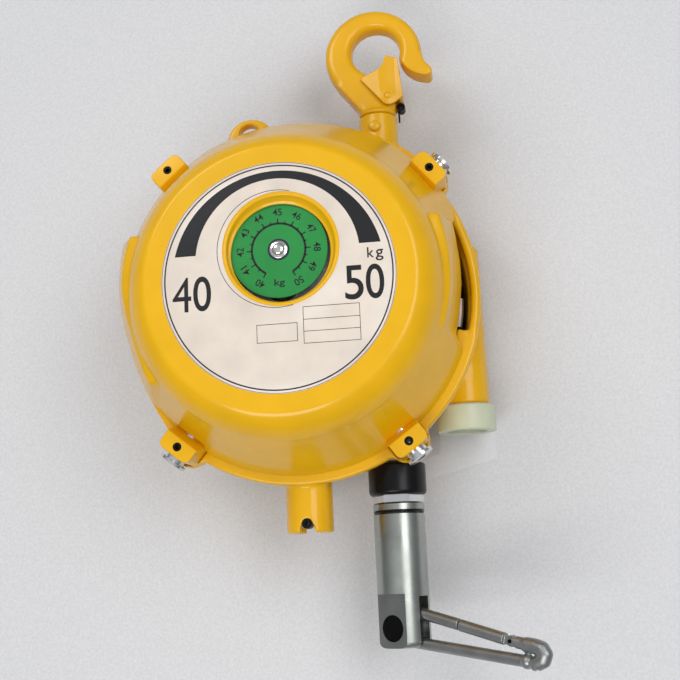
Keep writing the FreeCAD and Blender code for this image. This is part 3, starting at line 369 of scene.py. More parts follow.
def skin(name, rows, sharp=None):
    """Close a stack of rings of points; the last ring joins the first."""
    count = len(rows[0])
    faces = []
    for row in range(len(rows)):
        after = (row + 1) % len(rows)
        for column in range(count):
            ahead = (column + 1) % count
            faces.append((row * count + column, row * count + ahead,
                          after * count + ahead, after * count + column))
    return mesh_piece(name, [point for row in rows for point in row], faces, sharp)


def circle(right, up, radius, depth, count=160):
    """A ring of points that faces the front."""
    turns = [2 * math.pi * step / count for step in range(count)]
    return [at(depth, right + radius * math.cos(turn), up + radius * math.sin(turn))
            for turn in turns]


# %% [markdown]
# A casting or a forging has no sharp corners: the sand or the die rounds them all.  A
# bevel can't follow every junction of such a shape, but a voxel remesh can.  It rebuilds
# the solid from small even faces, and a few rounds of smoothing then melt the corners
# into fillets about two voxels wide.

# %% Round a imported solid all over


def rounded_copy(name, source, voxel_mm, rounds):
    """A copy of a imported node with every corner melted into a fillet."""
    piece = new_object(name, nodes[source].data.copy())
    remesh = piece.modifiers.new("remesh", "REMESH")
    remesh.mode = "VOXEL"
    remesh.voxel_size = voxel_mm * MM
    soften = piece.modifiers.new("soften", "SMOOTH")
    soften.factor = 0.5
    soften.iterations = rounds
    bake_modifiers(piece)
    smooth(piece)
    print(name, len(piece.data.polygons), "faces")
    return piece


# %% [markdown]
# The top hook and the snap link were hammered hot between dies, and the link's gate was
# bent from bar.  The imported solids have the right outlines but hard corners, which
# modelling by hand would have to chase one at a time.  One table gives each its voxel and
# its rounds of smoothing: the thicker the bar, the larger the fillets.

# %% The forgings
FORGED = (
    ("forged_hook", "top_hook", "hook", 1.0, 30, hook_paint, "hook_yellow"),
    ("forged_link", "snap_link", "link", 0.5, 14, galvanised, "zinc_steel"),
    ("gate_bar", "snap_gate", "gate", 0.4, 3, galvanised, "zinc_steel"),
)
for name, source, body, voxel, rounds, material, slot in FORGED:
    show(rounded_copy(name, source, voxel, rounds), body, material, [source])

# %% [markdown]
# ## The front cover
#
# The cover is a bowl with a flat face, a rounded shoulder and a long skirt that flares out
# to the rear casting.  It could be a lathe piece, but on both sides the skirt swells into
# a band with a ridge along its front, and the band on the right is cut back for the
# inspection window.  So the bowl is a stack of rings whose points may leave the circle.

# %% The bowl's profile, from the face round to the mouth
FACE = (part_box("front_cover")[0].y - FRONT) / MM
WINDOW_UP = (DIAL.z - AXIS.z) / MM
FACE_RIM, SHOULDER_RIM, SHOULDER, SHOULDER_BEND = 87.5, 102.6, 20.5, 30.0
SKIRT_END = 69.5
TONGUE, MOUTH, SKIN = 111.5, 79.5, 5.0


def arc(start, end, bend, count):
    """Points along the arc between two points that bulges to the right of the way there."""
    start, end = Vector(start), Vector(end)
    half = (end - start) / 2
    side = Vector((half.y, -half.x)).normalized()
    centre = start + half - side * math.sqrt(bend * bend - half.length_squared)
    first = math.atan2(start.y - centre.y, start.x - centre.x)
    last = math.atan2(end.y - centre.y, end.x - centre.x)
    return [(centre.x + bend * math.cos(first + (last - first) * step / count),
             centre.y + bend * math.sin(first + (last - first) * step / count))
            for step in range(count + 1)]


shoulder = arc((FACE_RIM, FACE), (SHOULDER_RIM, SHOULDER), SHOULDER_BEND, 20)
print("shoulder", [round(value, 1) for value in shoulder[10]])

# %% [markdown]
# Each ring of the face is given by how far its centre is raised, its radius and its depth.
# The first rings run round the window, which sits above the drum's axis, and the flat
# face takes them back to the axis.  Crisp corners are two rings close together.

# %% The rings of the face
LIP = (1.5, WINDOW_UP - 2.5)
BEZEL = (2.2, WINDOW_UP - 1.1)
rings = [((0.0, WINDOW_UP), 35.6, 11.0), ((0.0, WINDOW_UP), 35.6, 6.9), (LIP, 32.7, 6.6),
         (LIP, 32.2, 6.1), (LIP, 32.2, 5.4), (LIP, 32.6, 5.0), (LIP, 33.5, 4.7),
         (LIP, 34.1, 4.2), (BEZEL, 34.6, 2.2), (BEZEL, 34.9, 1.3), (BEZEL, 35.5, 0.75),
         (BEZEL, 36.3, FACE), (BEZEL, 37.2, FACE)]
rings += [((0.0, 0.0), radius, depth) for radius, depth in (
    (80.0, FACE), (FACE_RIM - 1.6, FACE), (FACE_RIM - 0.9, FACE + 0.02),
    (FACE_RIM - 0.3, FACE + 0.12))]
rings += [((0.0, 0.0), radius, depth) for radius, depth in shoulder[1:]]
print(len(rings), "rings on the face")

# %% [markdown]
# A table per side says how the band runs: at each angle, the radius of its ridge and the
# radius of its outer edge.  Between the two ends of a table the skirt turns from the plain
# cone into the band, with a short soft step at either end.

# %% The bands on both sides
BANDS = (
    ((-21.0, -15.0, -5.0, 3.0, 14.0, 21.0, 27.0),
     (106.6, 106.8, 107.4, 108.0, 109.2, 110.4, 111.6),
     (113.0, 112.4, 112.6, 113.7, 115.6, 118.2, 120.2), 59.0),
    ((143.0, 157.0, 168.0, 176.0, 184.0, 192.0, 202.0, 211.0, 218.0),
     (112.4, 112.0, 111.0, 110.0, 108.0, 106.6, 107.0, 108.8, 112.0),
     (130.0, 129.4, 125.6, 123.0, 120.6, 118.6, 118.2, 119.0, 120.4), 64.0),
)
RIMS = ((0.0, 20.0, 29.0, 62.0, 118.0, 152.0, 160.0, 195.0, 340.0, 360.0),
        (119.8, 121.0, 125.4, 129.0, 129.0, 125.4, 124.0, 119.4, 119.4, 119.8))
BAND_ENDS = ((-19.0, 22.5), (157.5, 214.0))
STEPS = ((5.0, 1.8), (1.8, 5.0))


def band(angle):
    """How much of the band there is at an angle, and its ridge, edge and end depth."""
    turn = math.degrees(angle) % 360.0
    for (spots, ridges, edges, end), (first, last), (rise, fall) in zip(
            BANDS, BAND_ENDS, STEPS):
        near = turn - 360.0 if turn - 360.0 >= spots[0] - 4.0 else turn
        share = min((near - first) / rise, (last - near) / fall) + 0.5
        if share > 0.0:
            share = min(share, 1.0)
            return (share * share * (3 - 2 * share), float(np.interp(near, spots, ridges)),
                    float(np.interp(near, spots, edges)), end)
    return 0.0, 0.0, 0.0, 0.0


def skirt_rim(angle):
    """Radius of the skirt's edge: it hides the flange at the top, and bares it below."""
    return float(np.interp(math.degrees(angle) % 360.0, *RIMS))


def skirt(angle, part):
    """Radius and depth of the skirt, from its top at part 0 to its edge at part 1."""
    plain = (SHOULDER_RIM + (skirt_rim(angle) - SHOULDER_RIM) * part,
             SHOULDER + (SKIRT_END - SHOULDER) * part)
    share, ridge, edge, end = band(angle)
    if share == 0.0:
        return plain
    spots = (0.0, 0.04, 0.08, 0.12, 0.16, 0.22, 0.94, 0.97, 1.0)
    raised = (SHOULDER_RIM, SHOULDER_RIM + 0.5, ridge - 2.4, ridge - 0.9, ridge,
              ridge + 0.9, edge, edge + 0.1, edge - 0.5)
    depths = (SHOULDER, SHOULDER + 1.4, SHOULDER + 3.0, SHOULDER + 4.2, SHOULDER + 6.0,
              SHOULDER + 9.5, end - 0.8, end, end + 1.2)
    swell = (float(np.interp(part, spots, raised)), float(np.interp(part, spots, depths)))
    return tuple(old + (new - old) * share for old, new in zip(plain, swell))


PARTS = [0.02, 0.04, 0.06, 0.08, 0.10, 0.12, 0.14, 0.16, 0.18, 0.20, 0.22, 0.27, 0.35,
         0.45, 0.55, 0.65, 0.75, 0.85, 0.91, 0.94, 0.955, 0.97, 0.985, 1.0]
print("band at 0 degrees", [round(value, 2) for value in band(0.0)])

# %% [markdown]
# Now the stack is put together.  The face's rings come first, then the skirt at every part
# of its height, and then the inside of the shell, from the mouth back up to the window.
# Where there is a band, the rim is drawn in to the tongue that slips into the rear casting.

# %% The cover's skin
AROUND, RIM_LIP = 480, 1.2
angles = [2 * math.pi * step / AROUND for step in range(AROUND)]
rows = [[at(depth, right + radius * math.cos(angle), up + radius * math.sin(angle))
         for angle in angles] for (right, up), radius, depth in rings]
for part in PARTS:
    spots = [skirt(angle, part) for angle in angles]
    rows.append([at(depth, radius * math.cos(angle), radius * math.sin(angle))
                 for (radius, depth), angle in zip(spots, angles)])
inside = [(0.0, 0.0, SKIRT_END + 0.4), (0.0, TONGUE + 0.5, SKIRT_END + 0.4),
          (0.0, TONGUE, SKIRT_END + 1.0), (0.0, TONGUE, MOUTH),
          (0.0, TONGUE - SKIN + 1.0, MOUTH), (0.0, TONGUE - SKIN, MOUTH - 1.0),
          (0.0, TONGUE - SKIN, 46.0), (0.0, 100.0, 30.0), (0.0, 94.0, 17.0),
          (0.0, 62.0, 8.0), (0.0, 61.0, 8.0), (WINDOW_UP, 41.5, 8.0),
          (WINDOW_UP, 41.0, 11.0)]
for step, (up, radius, depth) in enumerate(inside):
    row = []
    for angle in angles:
        if step == 0:
            edge = skirt_rim(angle) - RIM_LIP
            radius = edge + (TONGUE + 0.4 - edge) * band(angle)[0]
        row.append(at(depth, radius * math.cos(angle), up + radius * math.sin(angle)))
    rows.append(row)
cover = skin("cover_casting", rows, 40)
cover.modifiers.new("normals", "WEIGHTED_NORMAL").keep_sharp = True
show(cover, "case", paint, ["front_cover"])
print("cover", len(cover.data.polygons), "faces")

# %% [markdown]
# Holes are cut with Boolean modifiers that take a tool's shape out of a piece.  The result
# is kept and the tool thrown away, so that nothing hidden is left in the scene.

# %% Tools for cutting


def cylinder(name, radius_mm, start, end, sides):
    """A closed cylinder between two points."""
    run = end - start
    turn = Vector((0, 0, 1)).rotation_difference(run).to_matrix().to_4x4()
    mesh = bpy.data.meshes.new(name)
    shape = bmesh.new()
    bmesh.ops.create_cone(shape, cap_ends=True, segments=sides, radius1=radius_mm * MM,
                          radius2=radius_mm * MM, depth=run.length,
                          matrix=Matrix.Translation((start + end) / 2) @ turn)
    shape.to_mesh(mesh)
    shape.free()
    piece = new_object(name, mesh)
    return piece


def carve(piece, tools):
    """Cut tools out of a piece for good."""
    for tool in tools:
        change = piece.modifiers.new("carve", "BOOLEAN")
        change.operation = "DIFFERENCE"
        change.solver = "EXACT"
        change.object = tool
    bake_modifiers(piece)
    for tool in tools:
        bpy.data.objects.remove(tool)


def bevel(piece, width_mm, segments, angle):
    """Round the edges that are sharper than an angle in degrees."""
    rounder = piece.modifiers.new("bevel", "BEVEL")
    rounder.width = width_mm * MM
    rounder.segments = segments
    rounder.limit_method = "ANGLE"
    rounder.angle_limit = math.radians(angle)


# %% [markdown]
# Four lugs stand on the skirt.  Each is a block with round outer corners and a face that
# slopes back to the skirt on the inside, drilled for a roll pin.  A short outline is
# extruded, one cut makes the slope, and a bevel rounds the edges as the mould does.

# %% The lugs
LUGS = (131.4, 39.7, -54.5, -129.1)
LUG_HALF, LUG_ROOT, LUG_RIDGE, LUG_TOP = 12.4, 108.0, 120.8, 132.6
LUG_FRONT, LUG_BACK, LUG_SLOPE, CORNER = 49.1, 76.5, 0.42, 4.6
PIN_CIRCLE, PIN_BORE, DRILL_AHEAD, DRILL_BEHIND = 126.4, 3.0, 4, 14


def corner_arc(across, out, start):
    """A quarter circle round a point, from a start angle in degrees."""
    return [(across + CORNER * math.cos(math.radians(start + 15 * step)),
             out + CORNER * math.sin(math.radians(start + 15 * step))) for step in range(7)]


def lug(number, degrees):
    """One lug at an angle round the drum's axis."""
    turn = math.radians(degrees)
    outward = Vector((math.cos(turn), 0, math.sin(turn)))
    along = Vector((-math.sin(turn), 0, math.cos(turn)))
    outline = [(-LUG_HALF, LUG_ROOT), (LUG_HALF, LUG_ROOT)]
    outline += corner_arc(LUG_HALF - CORNER, LUG_TOP - CORNER, 0)
    outline += corner_arc(CORNER - LUG_HALF, LUG_TOP - CORNER, 90)
    points = [at(depth) + (outward * out + along * across) * MM
              for depth in (LUG_FRONT, LUG_BACK) for across, out in outline]
    count = len(outline)
    faces = [tuple(range(count)), tuple(range(2 * count - 1, count - 1, -1))]
    faces += [(step, (step + 1) % count, count + (step + 1) % count, count + step)
              for step in range(count)]
    piece = mesh_piece(f"cover_lug_{number}", points, faces)
    shape = bmesh.new()
    shape.from_mesh(piece.data)
    ridge = at(LUG_FRONT) + outward * LUG_RIDGE * MM
    side = (outward + Vector((0, LUG_SLOPE, 0))).normalized()
    whole = shape.verts[:] + shape.edges[:] + shape.faces[:]
    made = bmesh.ops.bisect_plane(shape, geom=whole, plane_co=ridge, plane_no=side,
                                  clear_inner=True)
    edges = [item for item in made["geom_cut"] if isinstance(item, bmesh.types.BMEdge)]
    bmesh.ops.edgenet_fill(shape, edges=edges)
    bmesh.ops.recalc_face_normals(shape, faces=shape.faces)
    shape.to_mesh(piece.data)
    shape.free()
    bevel(piece, 0.9, 3, 32)
    pin = at(LUG_FRONT) + outward * PIN_CIRCLE * MM
    drill = cylinder("pin_drill", PIN_BORE, pin + Vector((0, -DRILL_AHEAD * MM, 0)),
                     pin + Vector((0, DRILL_BEHIND * MM, 0)), 32)
    bake_modifiers(piece)
    carve(piece, [drill])
    smooth(piece, 34)
    piece.modifiers.new("normals", "WEIGHTED_NORMAL").keep_sharp = True
    show(piece, "case", paint)


for number, degrees in enumerate(LUGS, 1):
    lug(number, degrees)
print(len(LUGS), "lugs")

# %% [markdown]
# The hook's latch is sheet steel, folded over the hook so that it stands highest along the
# fold, and sprung shut.  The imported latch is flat, so a copy with soft edges is lifted
# along a slanted line and dished round its rivet.

# %% The folded latch
FOLD, TIP, BACK_EDGE = 3.3, -11.0, 19.9
LIFT, DROP, BOSS, BOSS_RIM, SHEET_HALF = 1.7, 3.6, 0.9, 4.4, 9.0
RIVET = middle("latch_rivet")
latch = rounded_copy("latch_sheet", "hook_latch", 0.4, 4)
for vertex in latch.data.vertices:
    across = vertex.co.x / MM
    if across < FOLD:
        lift = LIFT * max(across - TIP, 0.0) / (FOLD - TIP)
    else:
        lift = LIFT - DROP * ((across - FOLD) / (BACK_EDGE - FOLD)) ** 2
    gap = math.hypot(vertex.co.x - RIVET.x, vertex.co.z - RIVET.z) / MM
    lift += BOSS * math.exp(-(gap / BOSS_RIM) ** 2)
    offset = vertex.co.y - RIVET.y
    share = min(abs(offset) / (SHEET_HALF * MM), 1.0)
    vertex.co.y += math.copysign(lift * share * MM, offset)
show(latch, "latch", hook_paint, ["hook_latch"])
print("fold", FOLD, "mm right of the hook's middle")

# %% [markdown]
# The rear casting is the other half of the housing.  Its rim is no full circle: it is
# flatter at the lower left, and beside the inspection window it is as round as a bar.  The
# packed casting is remeshed like a forging, and then the points of its rim are moved: one
# table presses the rim in towards the axis, and one rule rounds its front edge.

# %% The rear casting
RIM_INSIDE, RIM_FRONT, RIM_BACK = 112.0, 68.0, 92.0
PRESSED = ((150.0, 172.0, 184.0, 192.0, 202.0, 211.0, 219.0, 226.0),
           (127.0, 126.0, 123.0, 120.8, 120.2, 121.0, 123.5, 127.0))
SQUEEZE, SOFT_EDGE = 0.25, 2.0
BAR_FIRST, BAR_LAST, BAR_MIDDLE, BAR_HALF, BAR_DROP = -16.0, 24.0, 122.6, 3.6, 2.6
BAR_BACK, BAR_DEEP, BAR_FADE, BAR_CURVE = 74.0, 4.0, 4.0, 2.4
rear = rounded_copy("rear_casting", "rear_case", 1.1, 4)
for vertex in rear.data.vertices:
    depth = (vertex.co.y - FRONT) / MM
    right, up = (vertex.co.x - AXIS.x) / MM, (vertex.co.z - AXIS.z) / MM
    radius, turn = math.hypot(right, up), math.degrees(math.atan2(up, right)) % 360.0
    if radius < RIM_INSIDE or not RIM_FRONT < depth < RIM_BACK:
        continue
    limit = float(np.interp(turn, *PRESSED)) - SOFT_EDGE
    if PRESSED[0][0] < turn < PRESSED[0][-1] and radius > limit:
        scale = (limit + (radius - limit) * SQUEEZE) / radius
        vertex.co.x = AXIS.x + right * scale * MM
        vertex.co.z = AXIS.z + up * scale * MM
    near = turn - 360.0 if turn > 180.0 else turn
    if BAR_FIRST < near < BAR_LAST and depth < BAR_BACK and radius > BAR_MIDDLE - BAR_HALF:
        fade = min(1.0, (near - BAR_FIRST) / BAR_FADE, (BAR_LAST - near) / BAR_FADE)
        off = min(abs(radius - BAR_MIDDLE) / BAR_HALF, 1.0)
        vertex.co.y += (BAR_DROP * MM * fade * (off ** BAR_CURVE)
                        * (BAR_BACK - depth) / BAR_DEEP)
show(rear, "case", paint, ["rear_case"])

# %% [markdown] ## The wire A tool that is pulled down draws more of the wire rope off
# # the drum.  Here the rope is one fixed length, twisted from six strands, in place of the
# # imported wire lead.  The strands turn evenly from ring to ring, and the rings' heights
# # come from a smoothstep curve, read backwards.

# %% A twisted wire rope
WIRE_TOP, WIRE_END, WIRE_RIM, VALLEY = -238.0, -340.0, 2.5, 0.16
STRANDS, TURNS, WIRE_RINGS, WIRE_SIDES = 6, 46.0, 460, 24
along = np.linspace(0.0, 1.0, 401)
travelled = along ** 2 * (3.0 - 2.0 * along)
wire_points, wire_faces = [], []
for ring in range(WIRE_RINGS + 1):
    drawn = ring / WIRE_RINGS
    height = WIRE_TOP + (WIRE_END - WIRE_TOP) * float(np.interp(drawn, travelled, along))
    for side in range(WIRE_SIDES):
        turn = 2 * math.pi * side / WIRE_SIDES
        radius = WIRE_RIM * (1.0 - VALLEY * (1.0 - abs(math.cos(STRANDS / 2 * turn))))
        turn += 2 * math.pi * TURNS * drawn
        wire_points.append((radius * math.cos(turn) * MM, radius * math.sin(turn) * MM,
                            height * MM))
for ring in range(WIRE_RINGS):
    for side in range(WIRE_SIDES):
        first = ring * WIRE_SIDES + side
        ahead = ring * WIRE_SIDES + (side + 1) % WIRE_SIDES
        wire_faces.append((first, ahead, ahead + WIRE_SIDES, first + WIRE_SIDES))
wire_faces.append(tuple(range(WIRE_SIDES)))
wire_faces.append(tuple(range(WIRE_RINGS * WIRE_SIDES, (WIRE_RINGS + 1) * WIRE_SIDES)))
rope = mesh_piece("wire_rope", wire_points, wire_faces, 50)
rope.data.materials.append(steel)
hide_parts("wire_lead")
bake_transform(rope)
print("wire rope", len(wire_faces), "faces")

# %% [markdown]
# ## The scale label
#
# The label is a thick printed film, stuck to the middle of the face.  Its hole was punched
# a little to the right of the printed ring, so a sliver of film shows on the left.  The
# print could be an image, but real strips of ink, a twentieth of a millimetre thick, stay
# sharp at any distance and need no picture file.  The film is set back by as much.

# %% The film
INK, FILM_BACK = 0.05, 0.6
HOLE = (2.4, WINDOW_UP - 1.1, 37.6)
LABEL_RIM = LABEL_RADIUS / MM
label_film = skin("label_film", [
    circle(*HOLE, FILM_BACK), circle(*HOLE, INK + 0.08),
    circle(*HOLE[:2], HOLE[2] + 0.1, INK), circle(0, 0, LABEL_RIM - 0.1, INK),
    circle(0, 0, LABEL_RIM, INK + 0.08), circle(0, 0, LABEL_RIM, FILM_BACK)], 40)
show(label_film, "case", film, ["scale_label"])
print("film", round(LABEL_RIM, 1), "mm")

# %% [markdown]
# A printed line is a strip between two rows of points.  `strip` gives it a front, a back
# and edges; rings, arcs, the frames of the boxes and the scale's ticks are all strips.

# %% Printed strips


def arc_line(right, up, radius, start, end, count=90):
    """(right, up) points along an arc, by its angles in degrees."""
    turns = [math.radians(start + (end - start) * step / count)
             for step in range(count + 1)]
    return [(right + radius * math.cos(turn), up + radius * math.sin(turn))
            for turn in turns]


def strip(inner, outer, front, back):
    """Points and faces of a flat strip between two equally long lines."""
    count = len(inner)
    points = [at(depth, *place) for depth in (front, back) for line in (inner, outer)
              for place in line]
    faces = [(0, count, 3 * count, 2 * count),
             (count - 1, 3 * count - 1, 4 * count - 1, 2 * count - 1)]
    for step in range(count - 1):
        a, b, c, d = (step + count * corner for corner in range(4))
        faces += [(a, a + 1, b + 1, b), (c, d, d + 1, c + 1), (a, c, c + 1, a + 1),
                  (b, b + 1, d + 1, d)]
    return points, faces


def arc_strip(right, up, radius, width, start, end, front, back):
    """A curved printed line, by its middle radius and its width."""
    return strip(arc_line(right, up, radius - width / 2, start, end),
                 arc_line(right, up, radius + width / 2, start, end), front, back)


def rule(start, end, width, front, back):
    """A straight printed line between two (right, up) points."""
    run = Vector(end) - Vector(start)
    side = Vector((-run.y, run.x)).normalized() * width / 2
    ends = [Vector(start), Vector(end)]
    return strip([tuple(place - side) for place in ends],
                 [tuple(place + side) for place in ends], front, back)


def gather(name, parts):
    """One mesh out of several lots of points and faces."""
    points, faces = [], []
    for more_points, more_faces in parts:
        base = len(points)
        points += more_points
        faces += [tuple(base + index for index in face) for face in more_faces]
    return mesh_piece(name, points, faces, 30)


# %% [markdown]
# Numbers come from Blender's own typeface.  The text is made fat by `offset`, turned into
# a mesh, and then stretched to the box that the printed number fills, because the label's
# numbers are tall and narrow.

# %% Printed numbers


def letters(text, box, front, back, fat=0.0, turn=0.0, centre=(0.0, 0.0)):
    """Points and faces of a text that fills a box (left, right, low, high)."""
    curve = bpy.data.curves.new("letters", "FONT")
    curve.body = text
    curve.extrude = 1.0
    curve.offset = fat
    curve.resolution_u = 6
    writing = new_object("letters", curve)
    bpy.context.view_layer.update()
    seen = writing.evaluated_get(bpy.context.evaluated_depsgraph_get())
    mesh = bpy.data.meshes.new_from_object(seen)
    spots = np.array([tuple(vertex.co) for vertex in mesh.vertices])
    low, high = spots.min(axis=0), spots.max(axis=0)
    part = (spots - low) / (high - low)
    points = []
    for across, rise, toward in part:
        right = box[0] + (box[1] - box[0]) * across
        up = box[2] + (box[3] - box[2]) * rise
        points.append(at(back + (front - back) * toward,
                         centre[0] + right * math.cos(turn) - up * math.sin(turn),
                         centre[1] + right * math.sin(turn) + up * math.cos(turn)))
    faces = [tuple(face.vertices) for face in mesh.polygons]
    bpy.data.objects.remove(writing)
    bpy.data.meshes.remove(mesh)
    return points, faces


# %% [markdown]
# The film carries a thin blue ring, a black crescent that grows towards both ends of the
# range, the two ends of the range in large numbers, their unit, and a few ruled boxes.
# The boxes are left empty, ready to be filled in by hand.

# %% Ink on the film
NUMERALS = (("4", (-67.8, -55.7, -19.4, 3.1)), ("0", (-54.4, -42.8, -19.5, 3.2)),
            ("5", (42.2, 53.9, -18.9, 3.0)), ("0", (55.4, 66.9, -19.2, 3.1)),
            ("k", (57.1, 61.3, 7.2, 13.9)), ("g", (62.3, 67.2, 4.9, 12.2)))
CRESCENT_END, LINE = 17.0, 0.36
GIRTH = {"4": 0.0, "0": 0.008, "5": 0.008, "k": 0.01, "g": 0.01}
black = [letters(text, box, 0.0, INK, GIRTH[text]) for text, box in NUMERALS]


def crescent_side(up, radius):
    """An arc over the window, cut off level at both ends."""
    low = math.degrees(math.asin((CRESCENT_END - up) / radius))
    return arc_line(0.0, up, radius, 180.0 - low, low, 120)


black.append(strip(crescent_side(11.5, 52.6), crescent_side(1.6, 67.7), 0.0, INK))
show(gather("label_numerals", black), "case", ink)
lines = []
BOXES = ((-14.2, 11.3, (-31.0, -42.4)), (15.35, 50.75, (-21.2, -29.2, -36.8, -44.4)))
for left, right, levels in BOXES:
    lines += [rule((left, level), (right, level), LINE, 0.0, INK) for level in levels]
    lines += [rule((side, levels[0] + LINE / 2), (side, levels[-1] - LINE / 2), LINE, 0.0,
                   INK) for side in (left, right)]
lines.append(arc_strip(0.0, WINDOW_UP - 1.0, 38.4, 0.4, 76.0, 284.0, 0.0, INK))
show(gather("label_rules", lines), "case", ink)
# The first ring is the printed blue ring.  The second, a thin dark line just inside the
# film's edge, is painted shadow along that edge.
for name, radius, width in (("label_ring", 72.7, 0.9), ("label_edge_line", 74.6, 0.28)):
    ring = skin(name, [circle(0, 0, radius + side, depth) for side, depth in (
        (-width / 2, 0.0), (width / 2, 0.0), (width / 2, INK), (-width / 2, INK))], 30)
    show(ring, "case", blue_ink_and_shade)
print("label printed")

# %% [markdown]
# ## The dial
#
# The green dial is printed with an open ring, a long tick at every whole step and a short
# one between, and numbers that stand on the ring with their heads outwards.  It rides on
# the dial's own body, so the print turns when the worm is turned.

# %% Ink on the dial
DIAL_FACE = (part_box("dial_plate")[0].y - FRONT) / MM
DIAL_RING, NUMBER_RING, RING_WIDTH = 17.3, 24.9, 1.4
RING_ENDS, MARKS, LOWEST, DIAL_GIRTH = (-60.0, 240.0), 21, 40, 0.012
MARK_STEP = (RING_ENDS[1] - RING_ENDS[0]) / (MARKS - 1)
LONG_TICK, SHORT_TICK = (20.6, 0.8), (19.2, 0.6)
dial_ink = [arc_strip(0.0, WINDOW_UP, DIAL_RING, RING_WIDTH, *RING_ENDS, DIAL_FACE - INK,
                      DIAL_FACE)]
for step in range(MARKS):
    turn = math.radians(RING_ENDS[1] - MARK_STEP * step)
    out = (math.cos(turn), math.sin(turn))
    tip, width = LONG_TICK if step % 2 == 0 else SHORT_TICK
    dial_ink.append(rule((out[0] * DIAL_RING, WINDOW_UP + out[1] * DIAL_RING),
                         (out[0] * tip, WINDOW_UP + out[1] * tip), width,
                         DIAL_FACE - INK, DIAL_FACE))
    if step % 2 == 0:
        dial_ink.append(letters(str(LOWEST + step // 2), (-3.0, 3.0, -2.35, 2.35),
                                DIAL_FACE - INK, DIAL_FACE, DIAL_GIRTH, turn - math.pi / 2,
                                (out[0] * NUMBER_RING, WINDOW_UP + out[1] * NUMBER_RING)))
dial_ink.append(letters("kg", (-3.4, 3.4, -2.9, 2.6), DIAL_FACE - INK, DIAL_FACE,
                        DIAL_GIRTH, 0.0, (0.0, WINDOW_UP - 22.0)))
show(gather("dial_print", dial_ink), "dial", ink)
print("dial printed,", len(dial_ink), "marks")

# %% [markdown]
# A pan-head screw with a cross recess holds the dial, over a plain washer.  Both are
# rings of points again; the recess is cut out with two thin crossed boxes.  A dark ring
# lies on the dial around them.

# %% The dial's washer and screw
WASHER_RIM, WASHER_FRONT = 5.8, DIAL_FACE - 0.8
RECESS, RECESS_THIN, RECESS_DEEP = 4.0, 0.9, 1.3


def turned_piece(name, profile, sides, sharp):
    """A ring turned round the dial's axis, from its (radius, depth) profile."""
    return skin(name, [circle(0, WINDOW_UP, radius, depth, sides)
                       for radius, depth in profile], sharp)


washer = turned_piece("dial_plain_washer", (
    (2.3, DIAL_FACE - INK), (2.3, WASHER_FRONT), (5.5, WASHER_FRONT),
    (WASHER_RIM, WASHER_FRONT + 0.25), (WASHER_RIM, DIAL_FACE - INK)), 96, 40)
show(washer, "dial", bright, ["dial_washer"])
dark_ring = turned_piece("dial_centre_ring", (
    (5.0, DIAL_FACE - INK), (7.1, DIAL_FACE - INK), (7.1, DIAL_FACE),
    (5.0, DIAL_FACE)), 96, 40)
show(dark_ring, "dial", blue_ink_and_shade)
head = turned_piece("dial_cross_screw", (
    (0.02, 12.0), (2.0, 12.0), (2.0, WASHER_FRONT), (4.0, WASHER_FRONT),
    (4.1, WASHER_FRONT - 0.4), (3.8, WASHER_FRONT - 1.3), (3.0, WASHER_FRONT - 1.9),
    (1.5, WASHER_FRONT - 2.2), (0.02, WASHER_FRONT - 2.25)), 64, 50)
for wide, high in ((RECESS, RECESS_THIN), (RECESS_THIN, RECESS)):
    mesh = bpy.data.meshes.new("recess")
    shape = bmesh.new()
    bmesh.ops.create_cube(shape, size=MM)
    bmesh.ops.scale(shape, vec=(wide, 2 * RECESS_DEEP, high), verts=shape.verts)
    bmesh.ops.translate(shape, vec=at(WASHER_FRONT - 2.3, 0.0, WINDOW_UP),
                        verts=shape.verts)
    shape.to_mesh(mesh)
    shape.free()
    carve(head, [new_object("recess", mesh)])
smooth(head, 40)
show(head, "dial", bright, ["dial_screw"])
print("dial fitted")

# %% [markdown]
# ## Floor, light and camera
#
# The balancer lies on its back on a pale floor, so the floor is a sheet behind it.  From
# behind, the sheet lets the eye through, so that the back can be looked at too.

# %% The floor
FLOOR_BACK, HALF = 6.0, 3.0
floor_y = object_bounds()[1].y + FLOOR_BACK * MM
corners = [(-HALF, floor_y, -HALF), (HALF, floor_y, -HALF), (HALF, floor_y, HALF),
           (-HALF, floor_y, HALF)]
floor = mesh_piece("floor", corners, [(0, 1, 2, 3)])
stone = finish("pale_stone", (0.66, 0.66, 0.67), 0.6)
vary_color(stone, noise(stone, 520.0, 4.0),
           [(0.30, (0.62, 0.62, 0.63)), (0.72, (0.71, 0.71, 0.725))])
floor.data.materials.append(stone)
shader = stone.node_tree.nodes["Principled BSDF"]
see_through = node(stone, "BsdfTransparent")
facing = node(stone, "NewGeometry")
mix = node(stone, "MixShader")
wire(stone, facing, "Backfacing", mix, "Fac")
stone.node_tree.links.new(shader.outputs["BSDF"], mix.inputs[1])
stone.node_tree.links.new(see_through.outputs["BSDF"], mix.inputs[2])
stone.node_tree.links.new(mix.outputs["Shader"],
                          stone.node_tree.nodes["Material Output"].inputs["Surface"])

# %% [markdown]
# Three large lamps stand where a photographer would put softboxes: a key from the upper
# left, a broad fill from the right, and a low one that opens the shadows under the bowl.
# Small lamps would give hard shadows and pinpoint highlights on the enamel.  Their power
# is set so that the label and the yellow show about the colours they were given.

# %% The lights


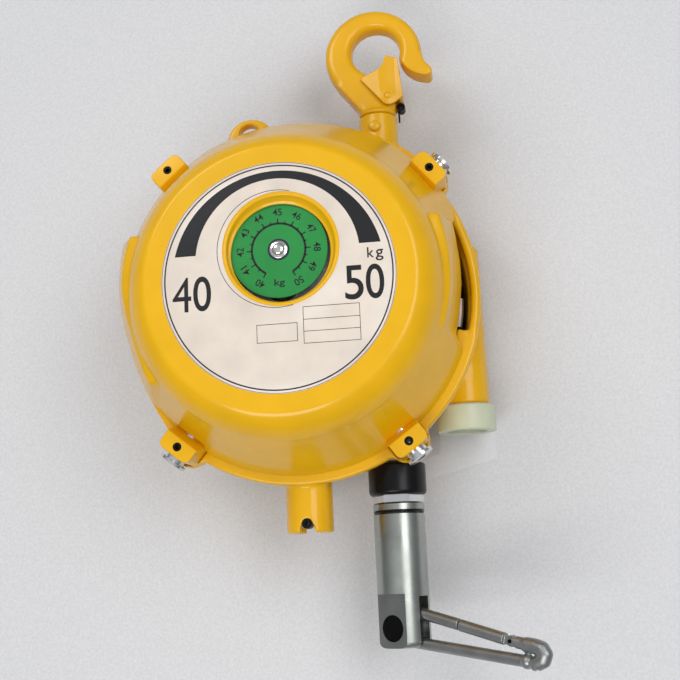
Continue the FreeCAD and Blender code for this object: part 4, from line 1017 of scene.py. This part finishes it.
def softbox(name, place, aim, size, power):
    """A rectangular lamp that faces a point."""
    lamp = bpy.data.lights.new(name, "AREA")
    lamp.shape = "RECTANGLE"
    lamp.size, lamp.size_y = size
    lamp.energy = power
    item = new_object(name, lamp)
    item.location = place
    item.rotation_euler = (Vector(aim) - Vector(place)).to_track_quat("-Z", "Y").to_euler()


CENTRE = at(60.0)
softbox("key", (-0.80, -1.35, 0.75), CENTRE, (0.8, 0.6), 6.8)
softbox("fill", (0.75, -1.50, 0.05), CENTRE, (0.8, 1.1), 9.6)
softbox("low", (-0.35, -1.35, -1.15), CENTRE, (1.0, 0.5), 9.4)

# %% [markdown]
# The room around a light tent is brightest in front and darker towards the sides.  A world
# of one colour would leave plated metal without the dark bands that make it look like
# metal, so the sky's strength follows its own direction: full in front of the object, where
# the eye is, and low from the sides and from behind.

# %% The room
world = bpy.data.worlds.new("studio")
bpy.context.scene.world = world
world.use_nodes = True
tree = world.node_tree
sky = tree.nodes["Background"]
sky.inputs["Color"].default_value = (0.80, 0.82, 0.85, 1.0)
direction = tree.nodes.new("ShaderNodeTexCoord")
split = tree.nodes.new("ShaderNodeSeparateXYZ")
spread = tree.nodes.new("ShaderNodeMapRange")
for label, value in (("From Min", -0.95), ("From Max", -0.30), ("To Min", 0.66),
                     ("To Max", 0.28)):
    spread.inputs[label].default_value = value
tree.links.new(direction.outputs["Generated"], split.inputs["Vector"])
tree.links.new(split.outputs["Y"], spread.inputs["Value"])
tree.links.new(spread.outputs["Result"], sky.inputs["Strength"])

# %% [markdown]
# The eye is low, a little to the right and close to the object, so the bowl's underside
# and its right flank show and the near parts look larger.  A matrix of three directions
# sets this more exactly than angles would: where the lens looks, its right and its up.

# %% The camera
EYE = Vector((0.0607, -0.7988, -0.3985))
LOOK = Vector((-0.1190, 0.97225, 0.20142))
RIGHT = Vector((0.99055, 0.13018, -0.04316))
camera_data = bpy.data.cameras.new("camera")
camera_data.lens = 60.88
camera_data.sensor_width = 36.0
camera_data.shift_x = 0.003
camera = new_object("camera", camera_data)
turn = Matrix((RIGHT, RIGHT.cross(LOOK), LOOK * -1)).transposed()
camera.matrix_world = Matrix.Translation(EYE) @ turn.to_4x4()
bpy.context.scene.camera = camera
bpy.context.scene.view_settings.view_transform = "Standard"
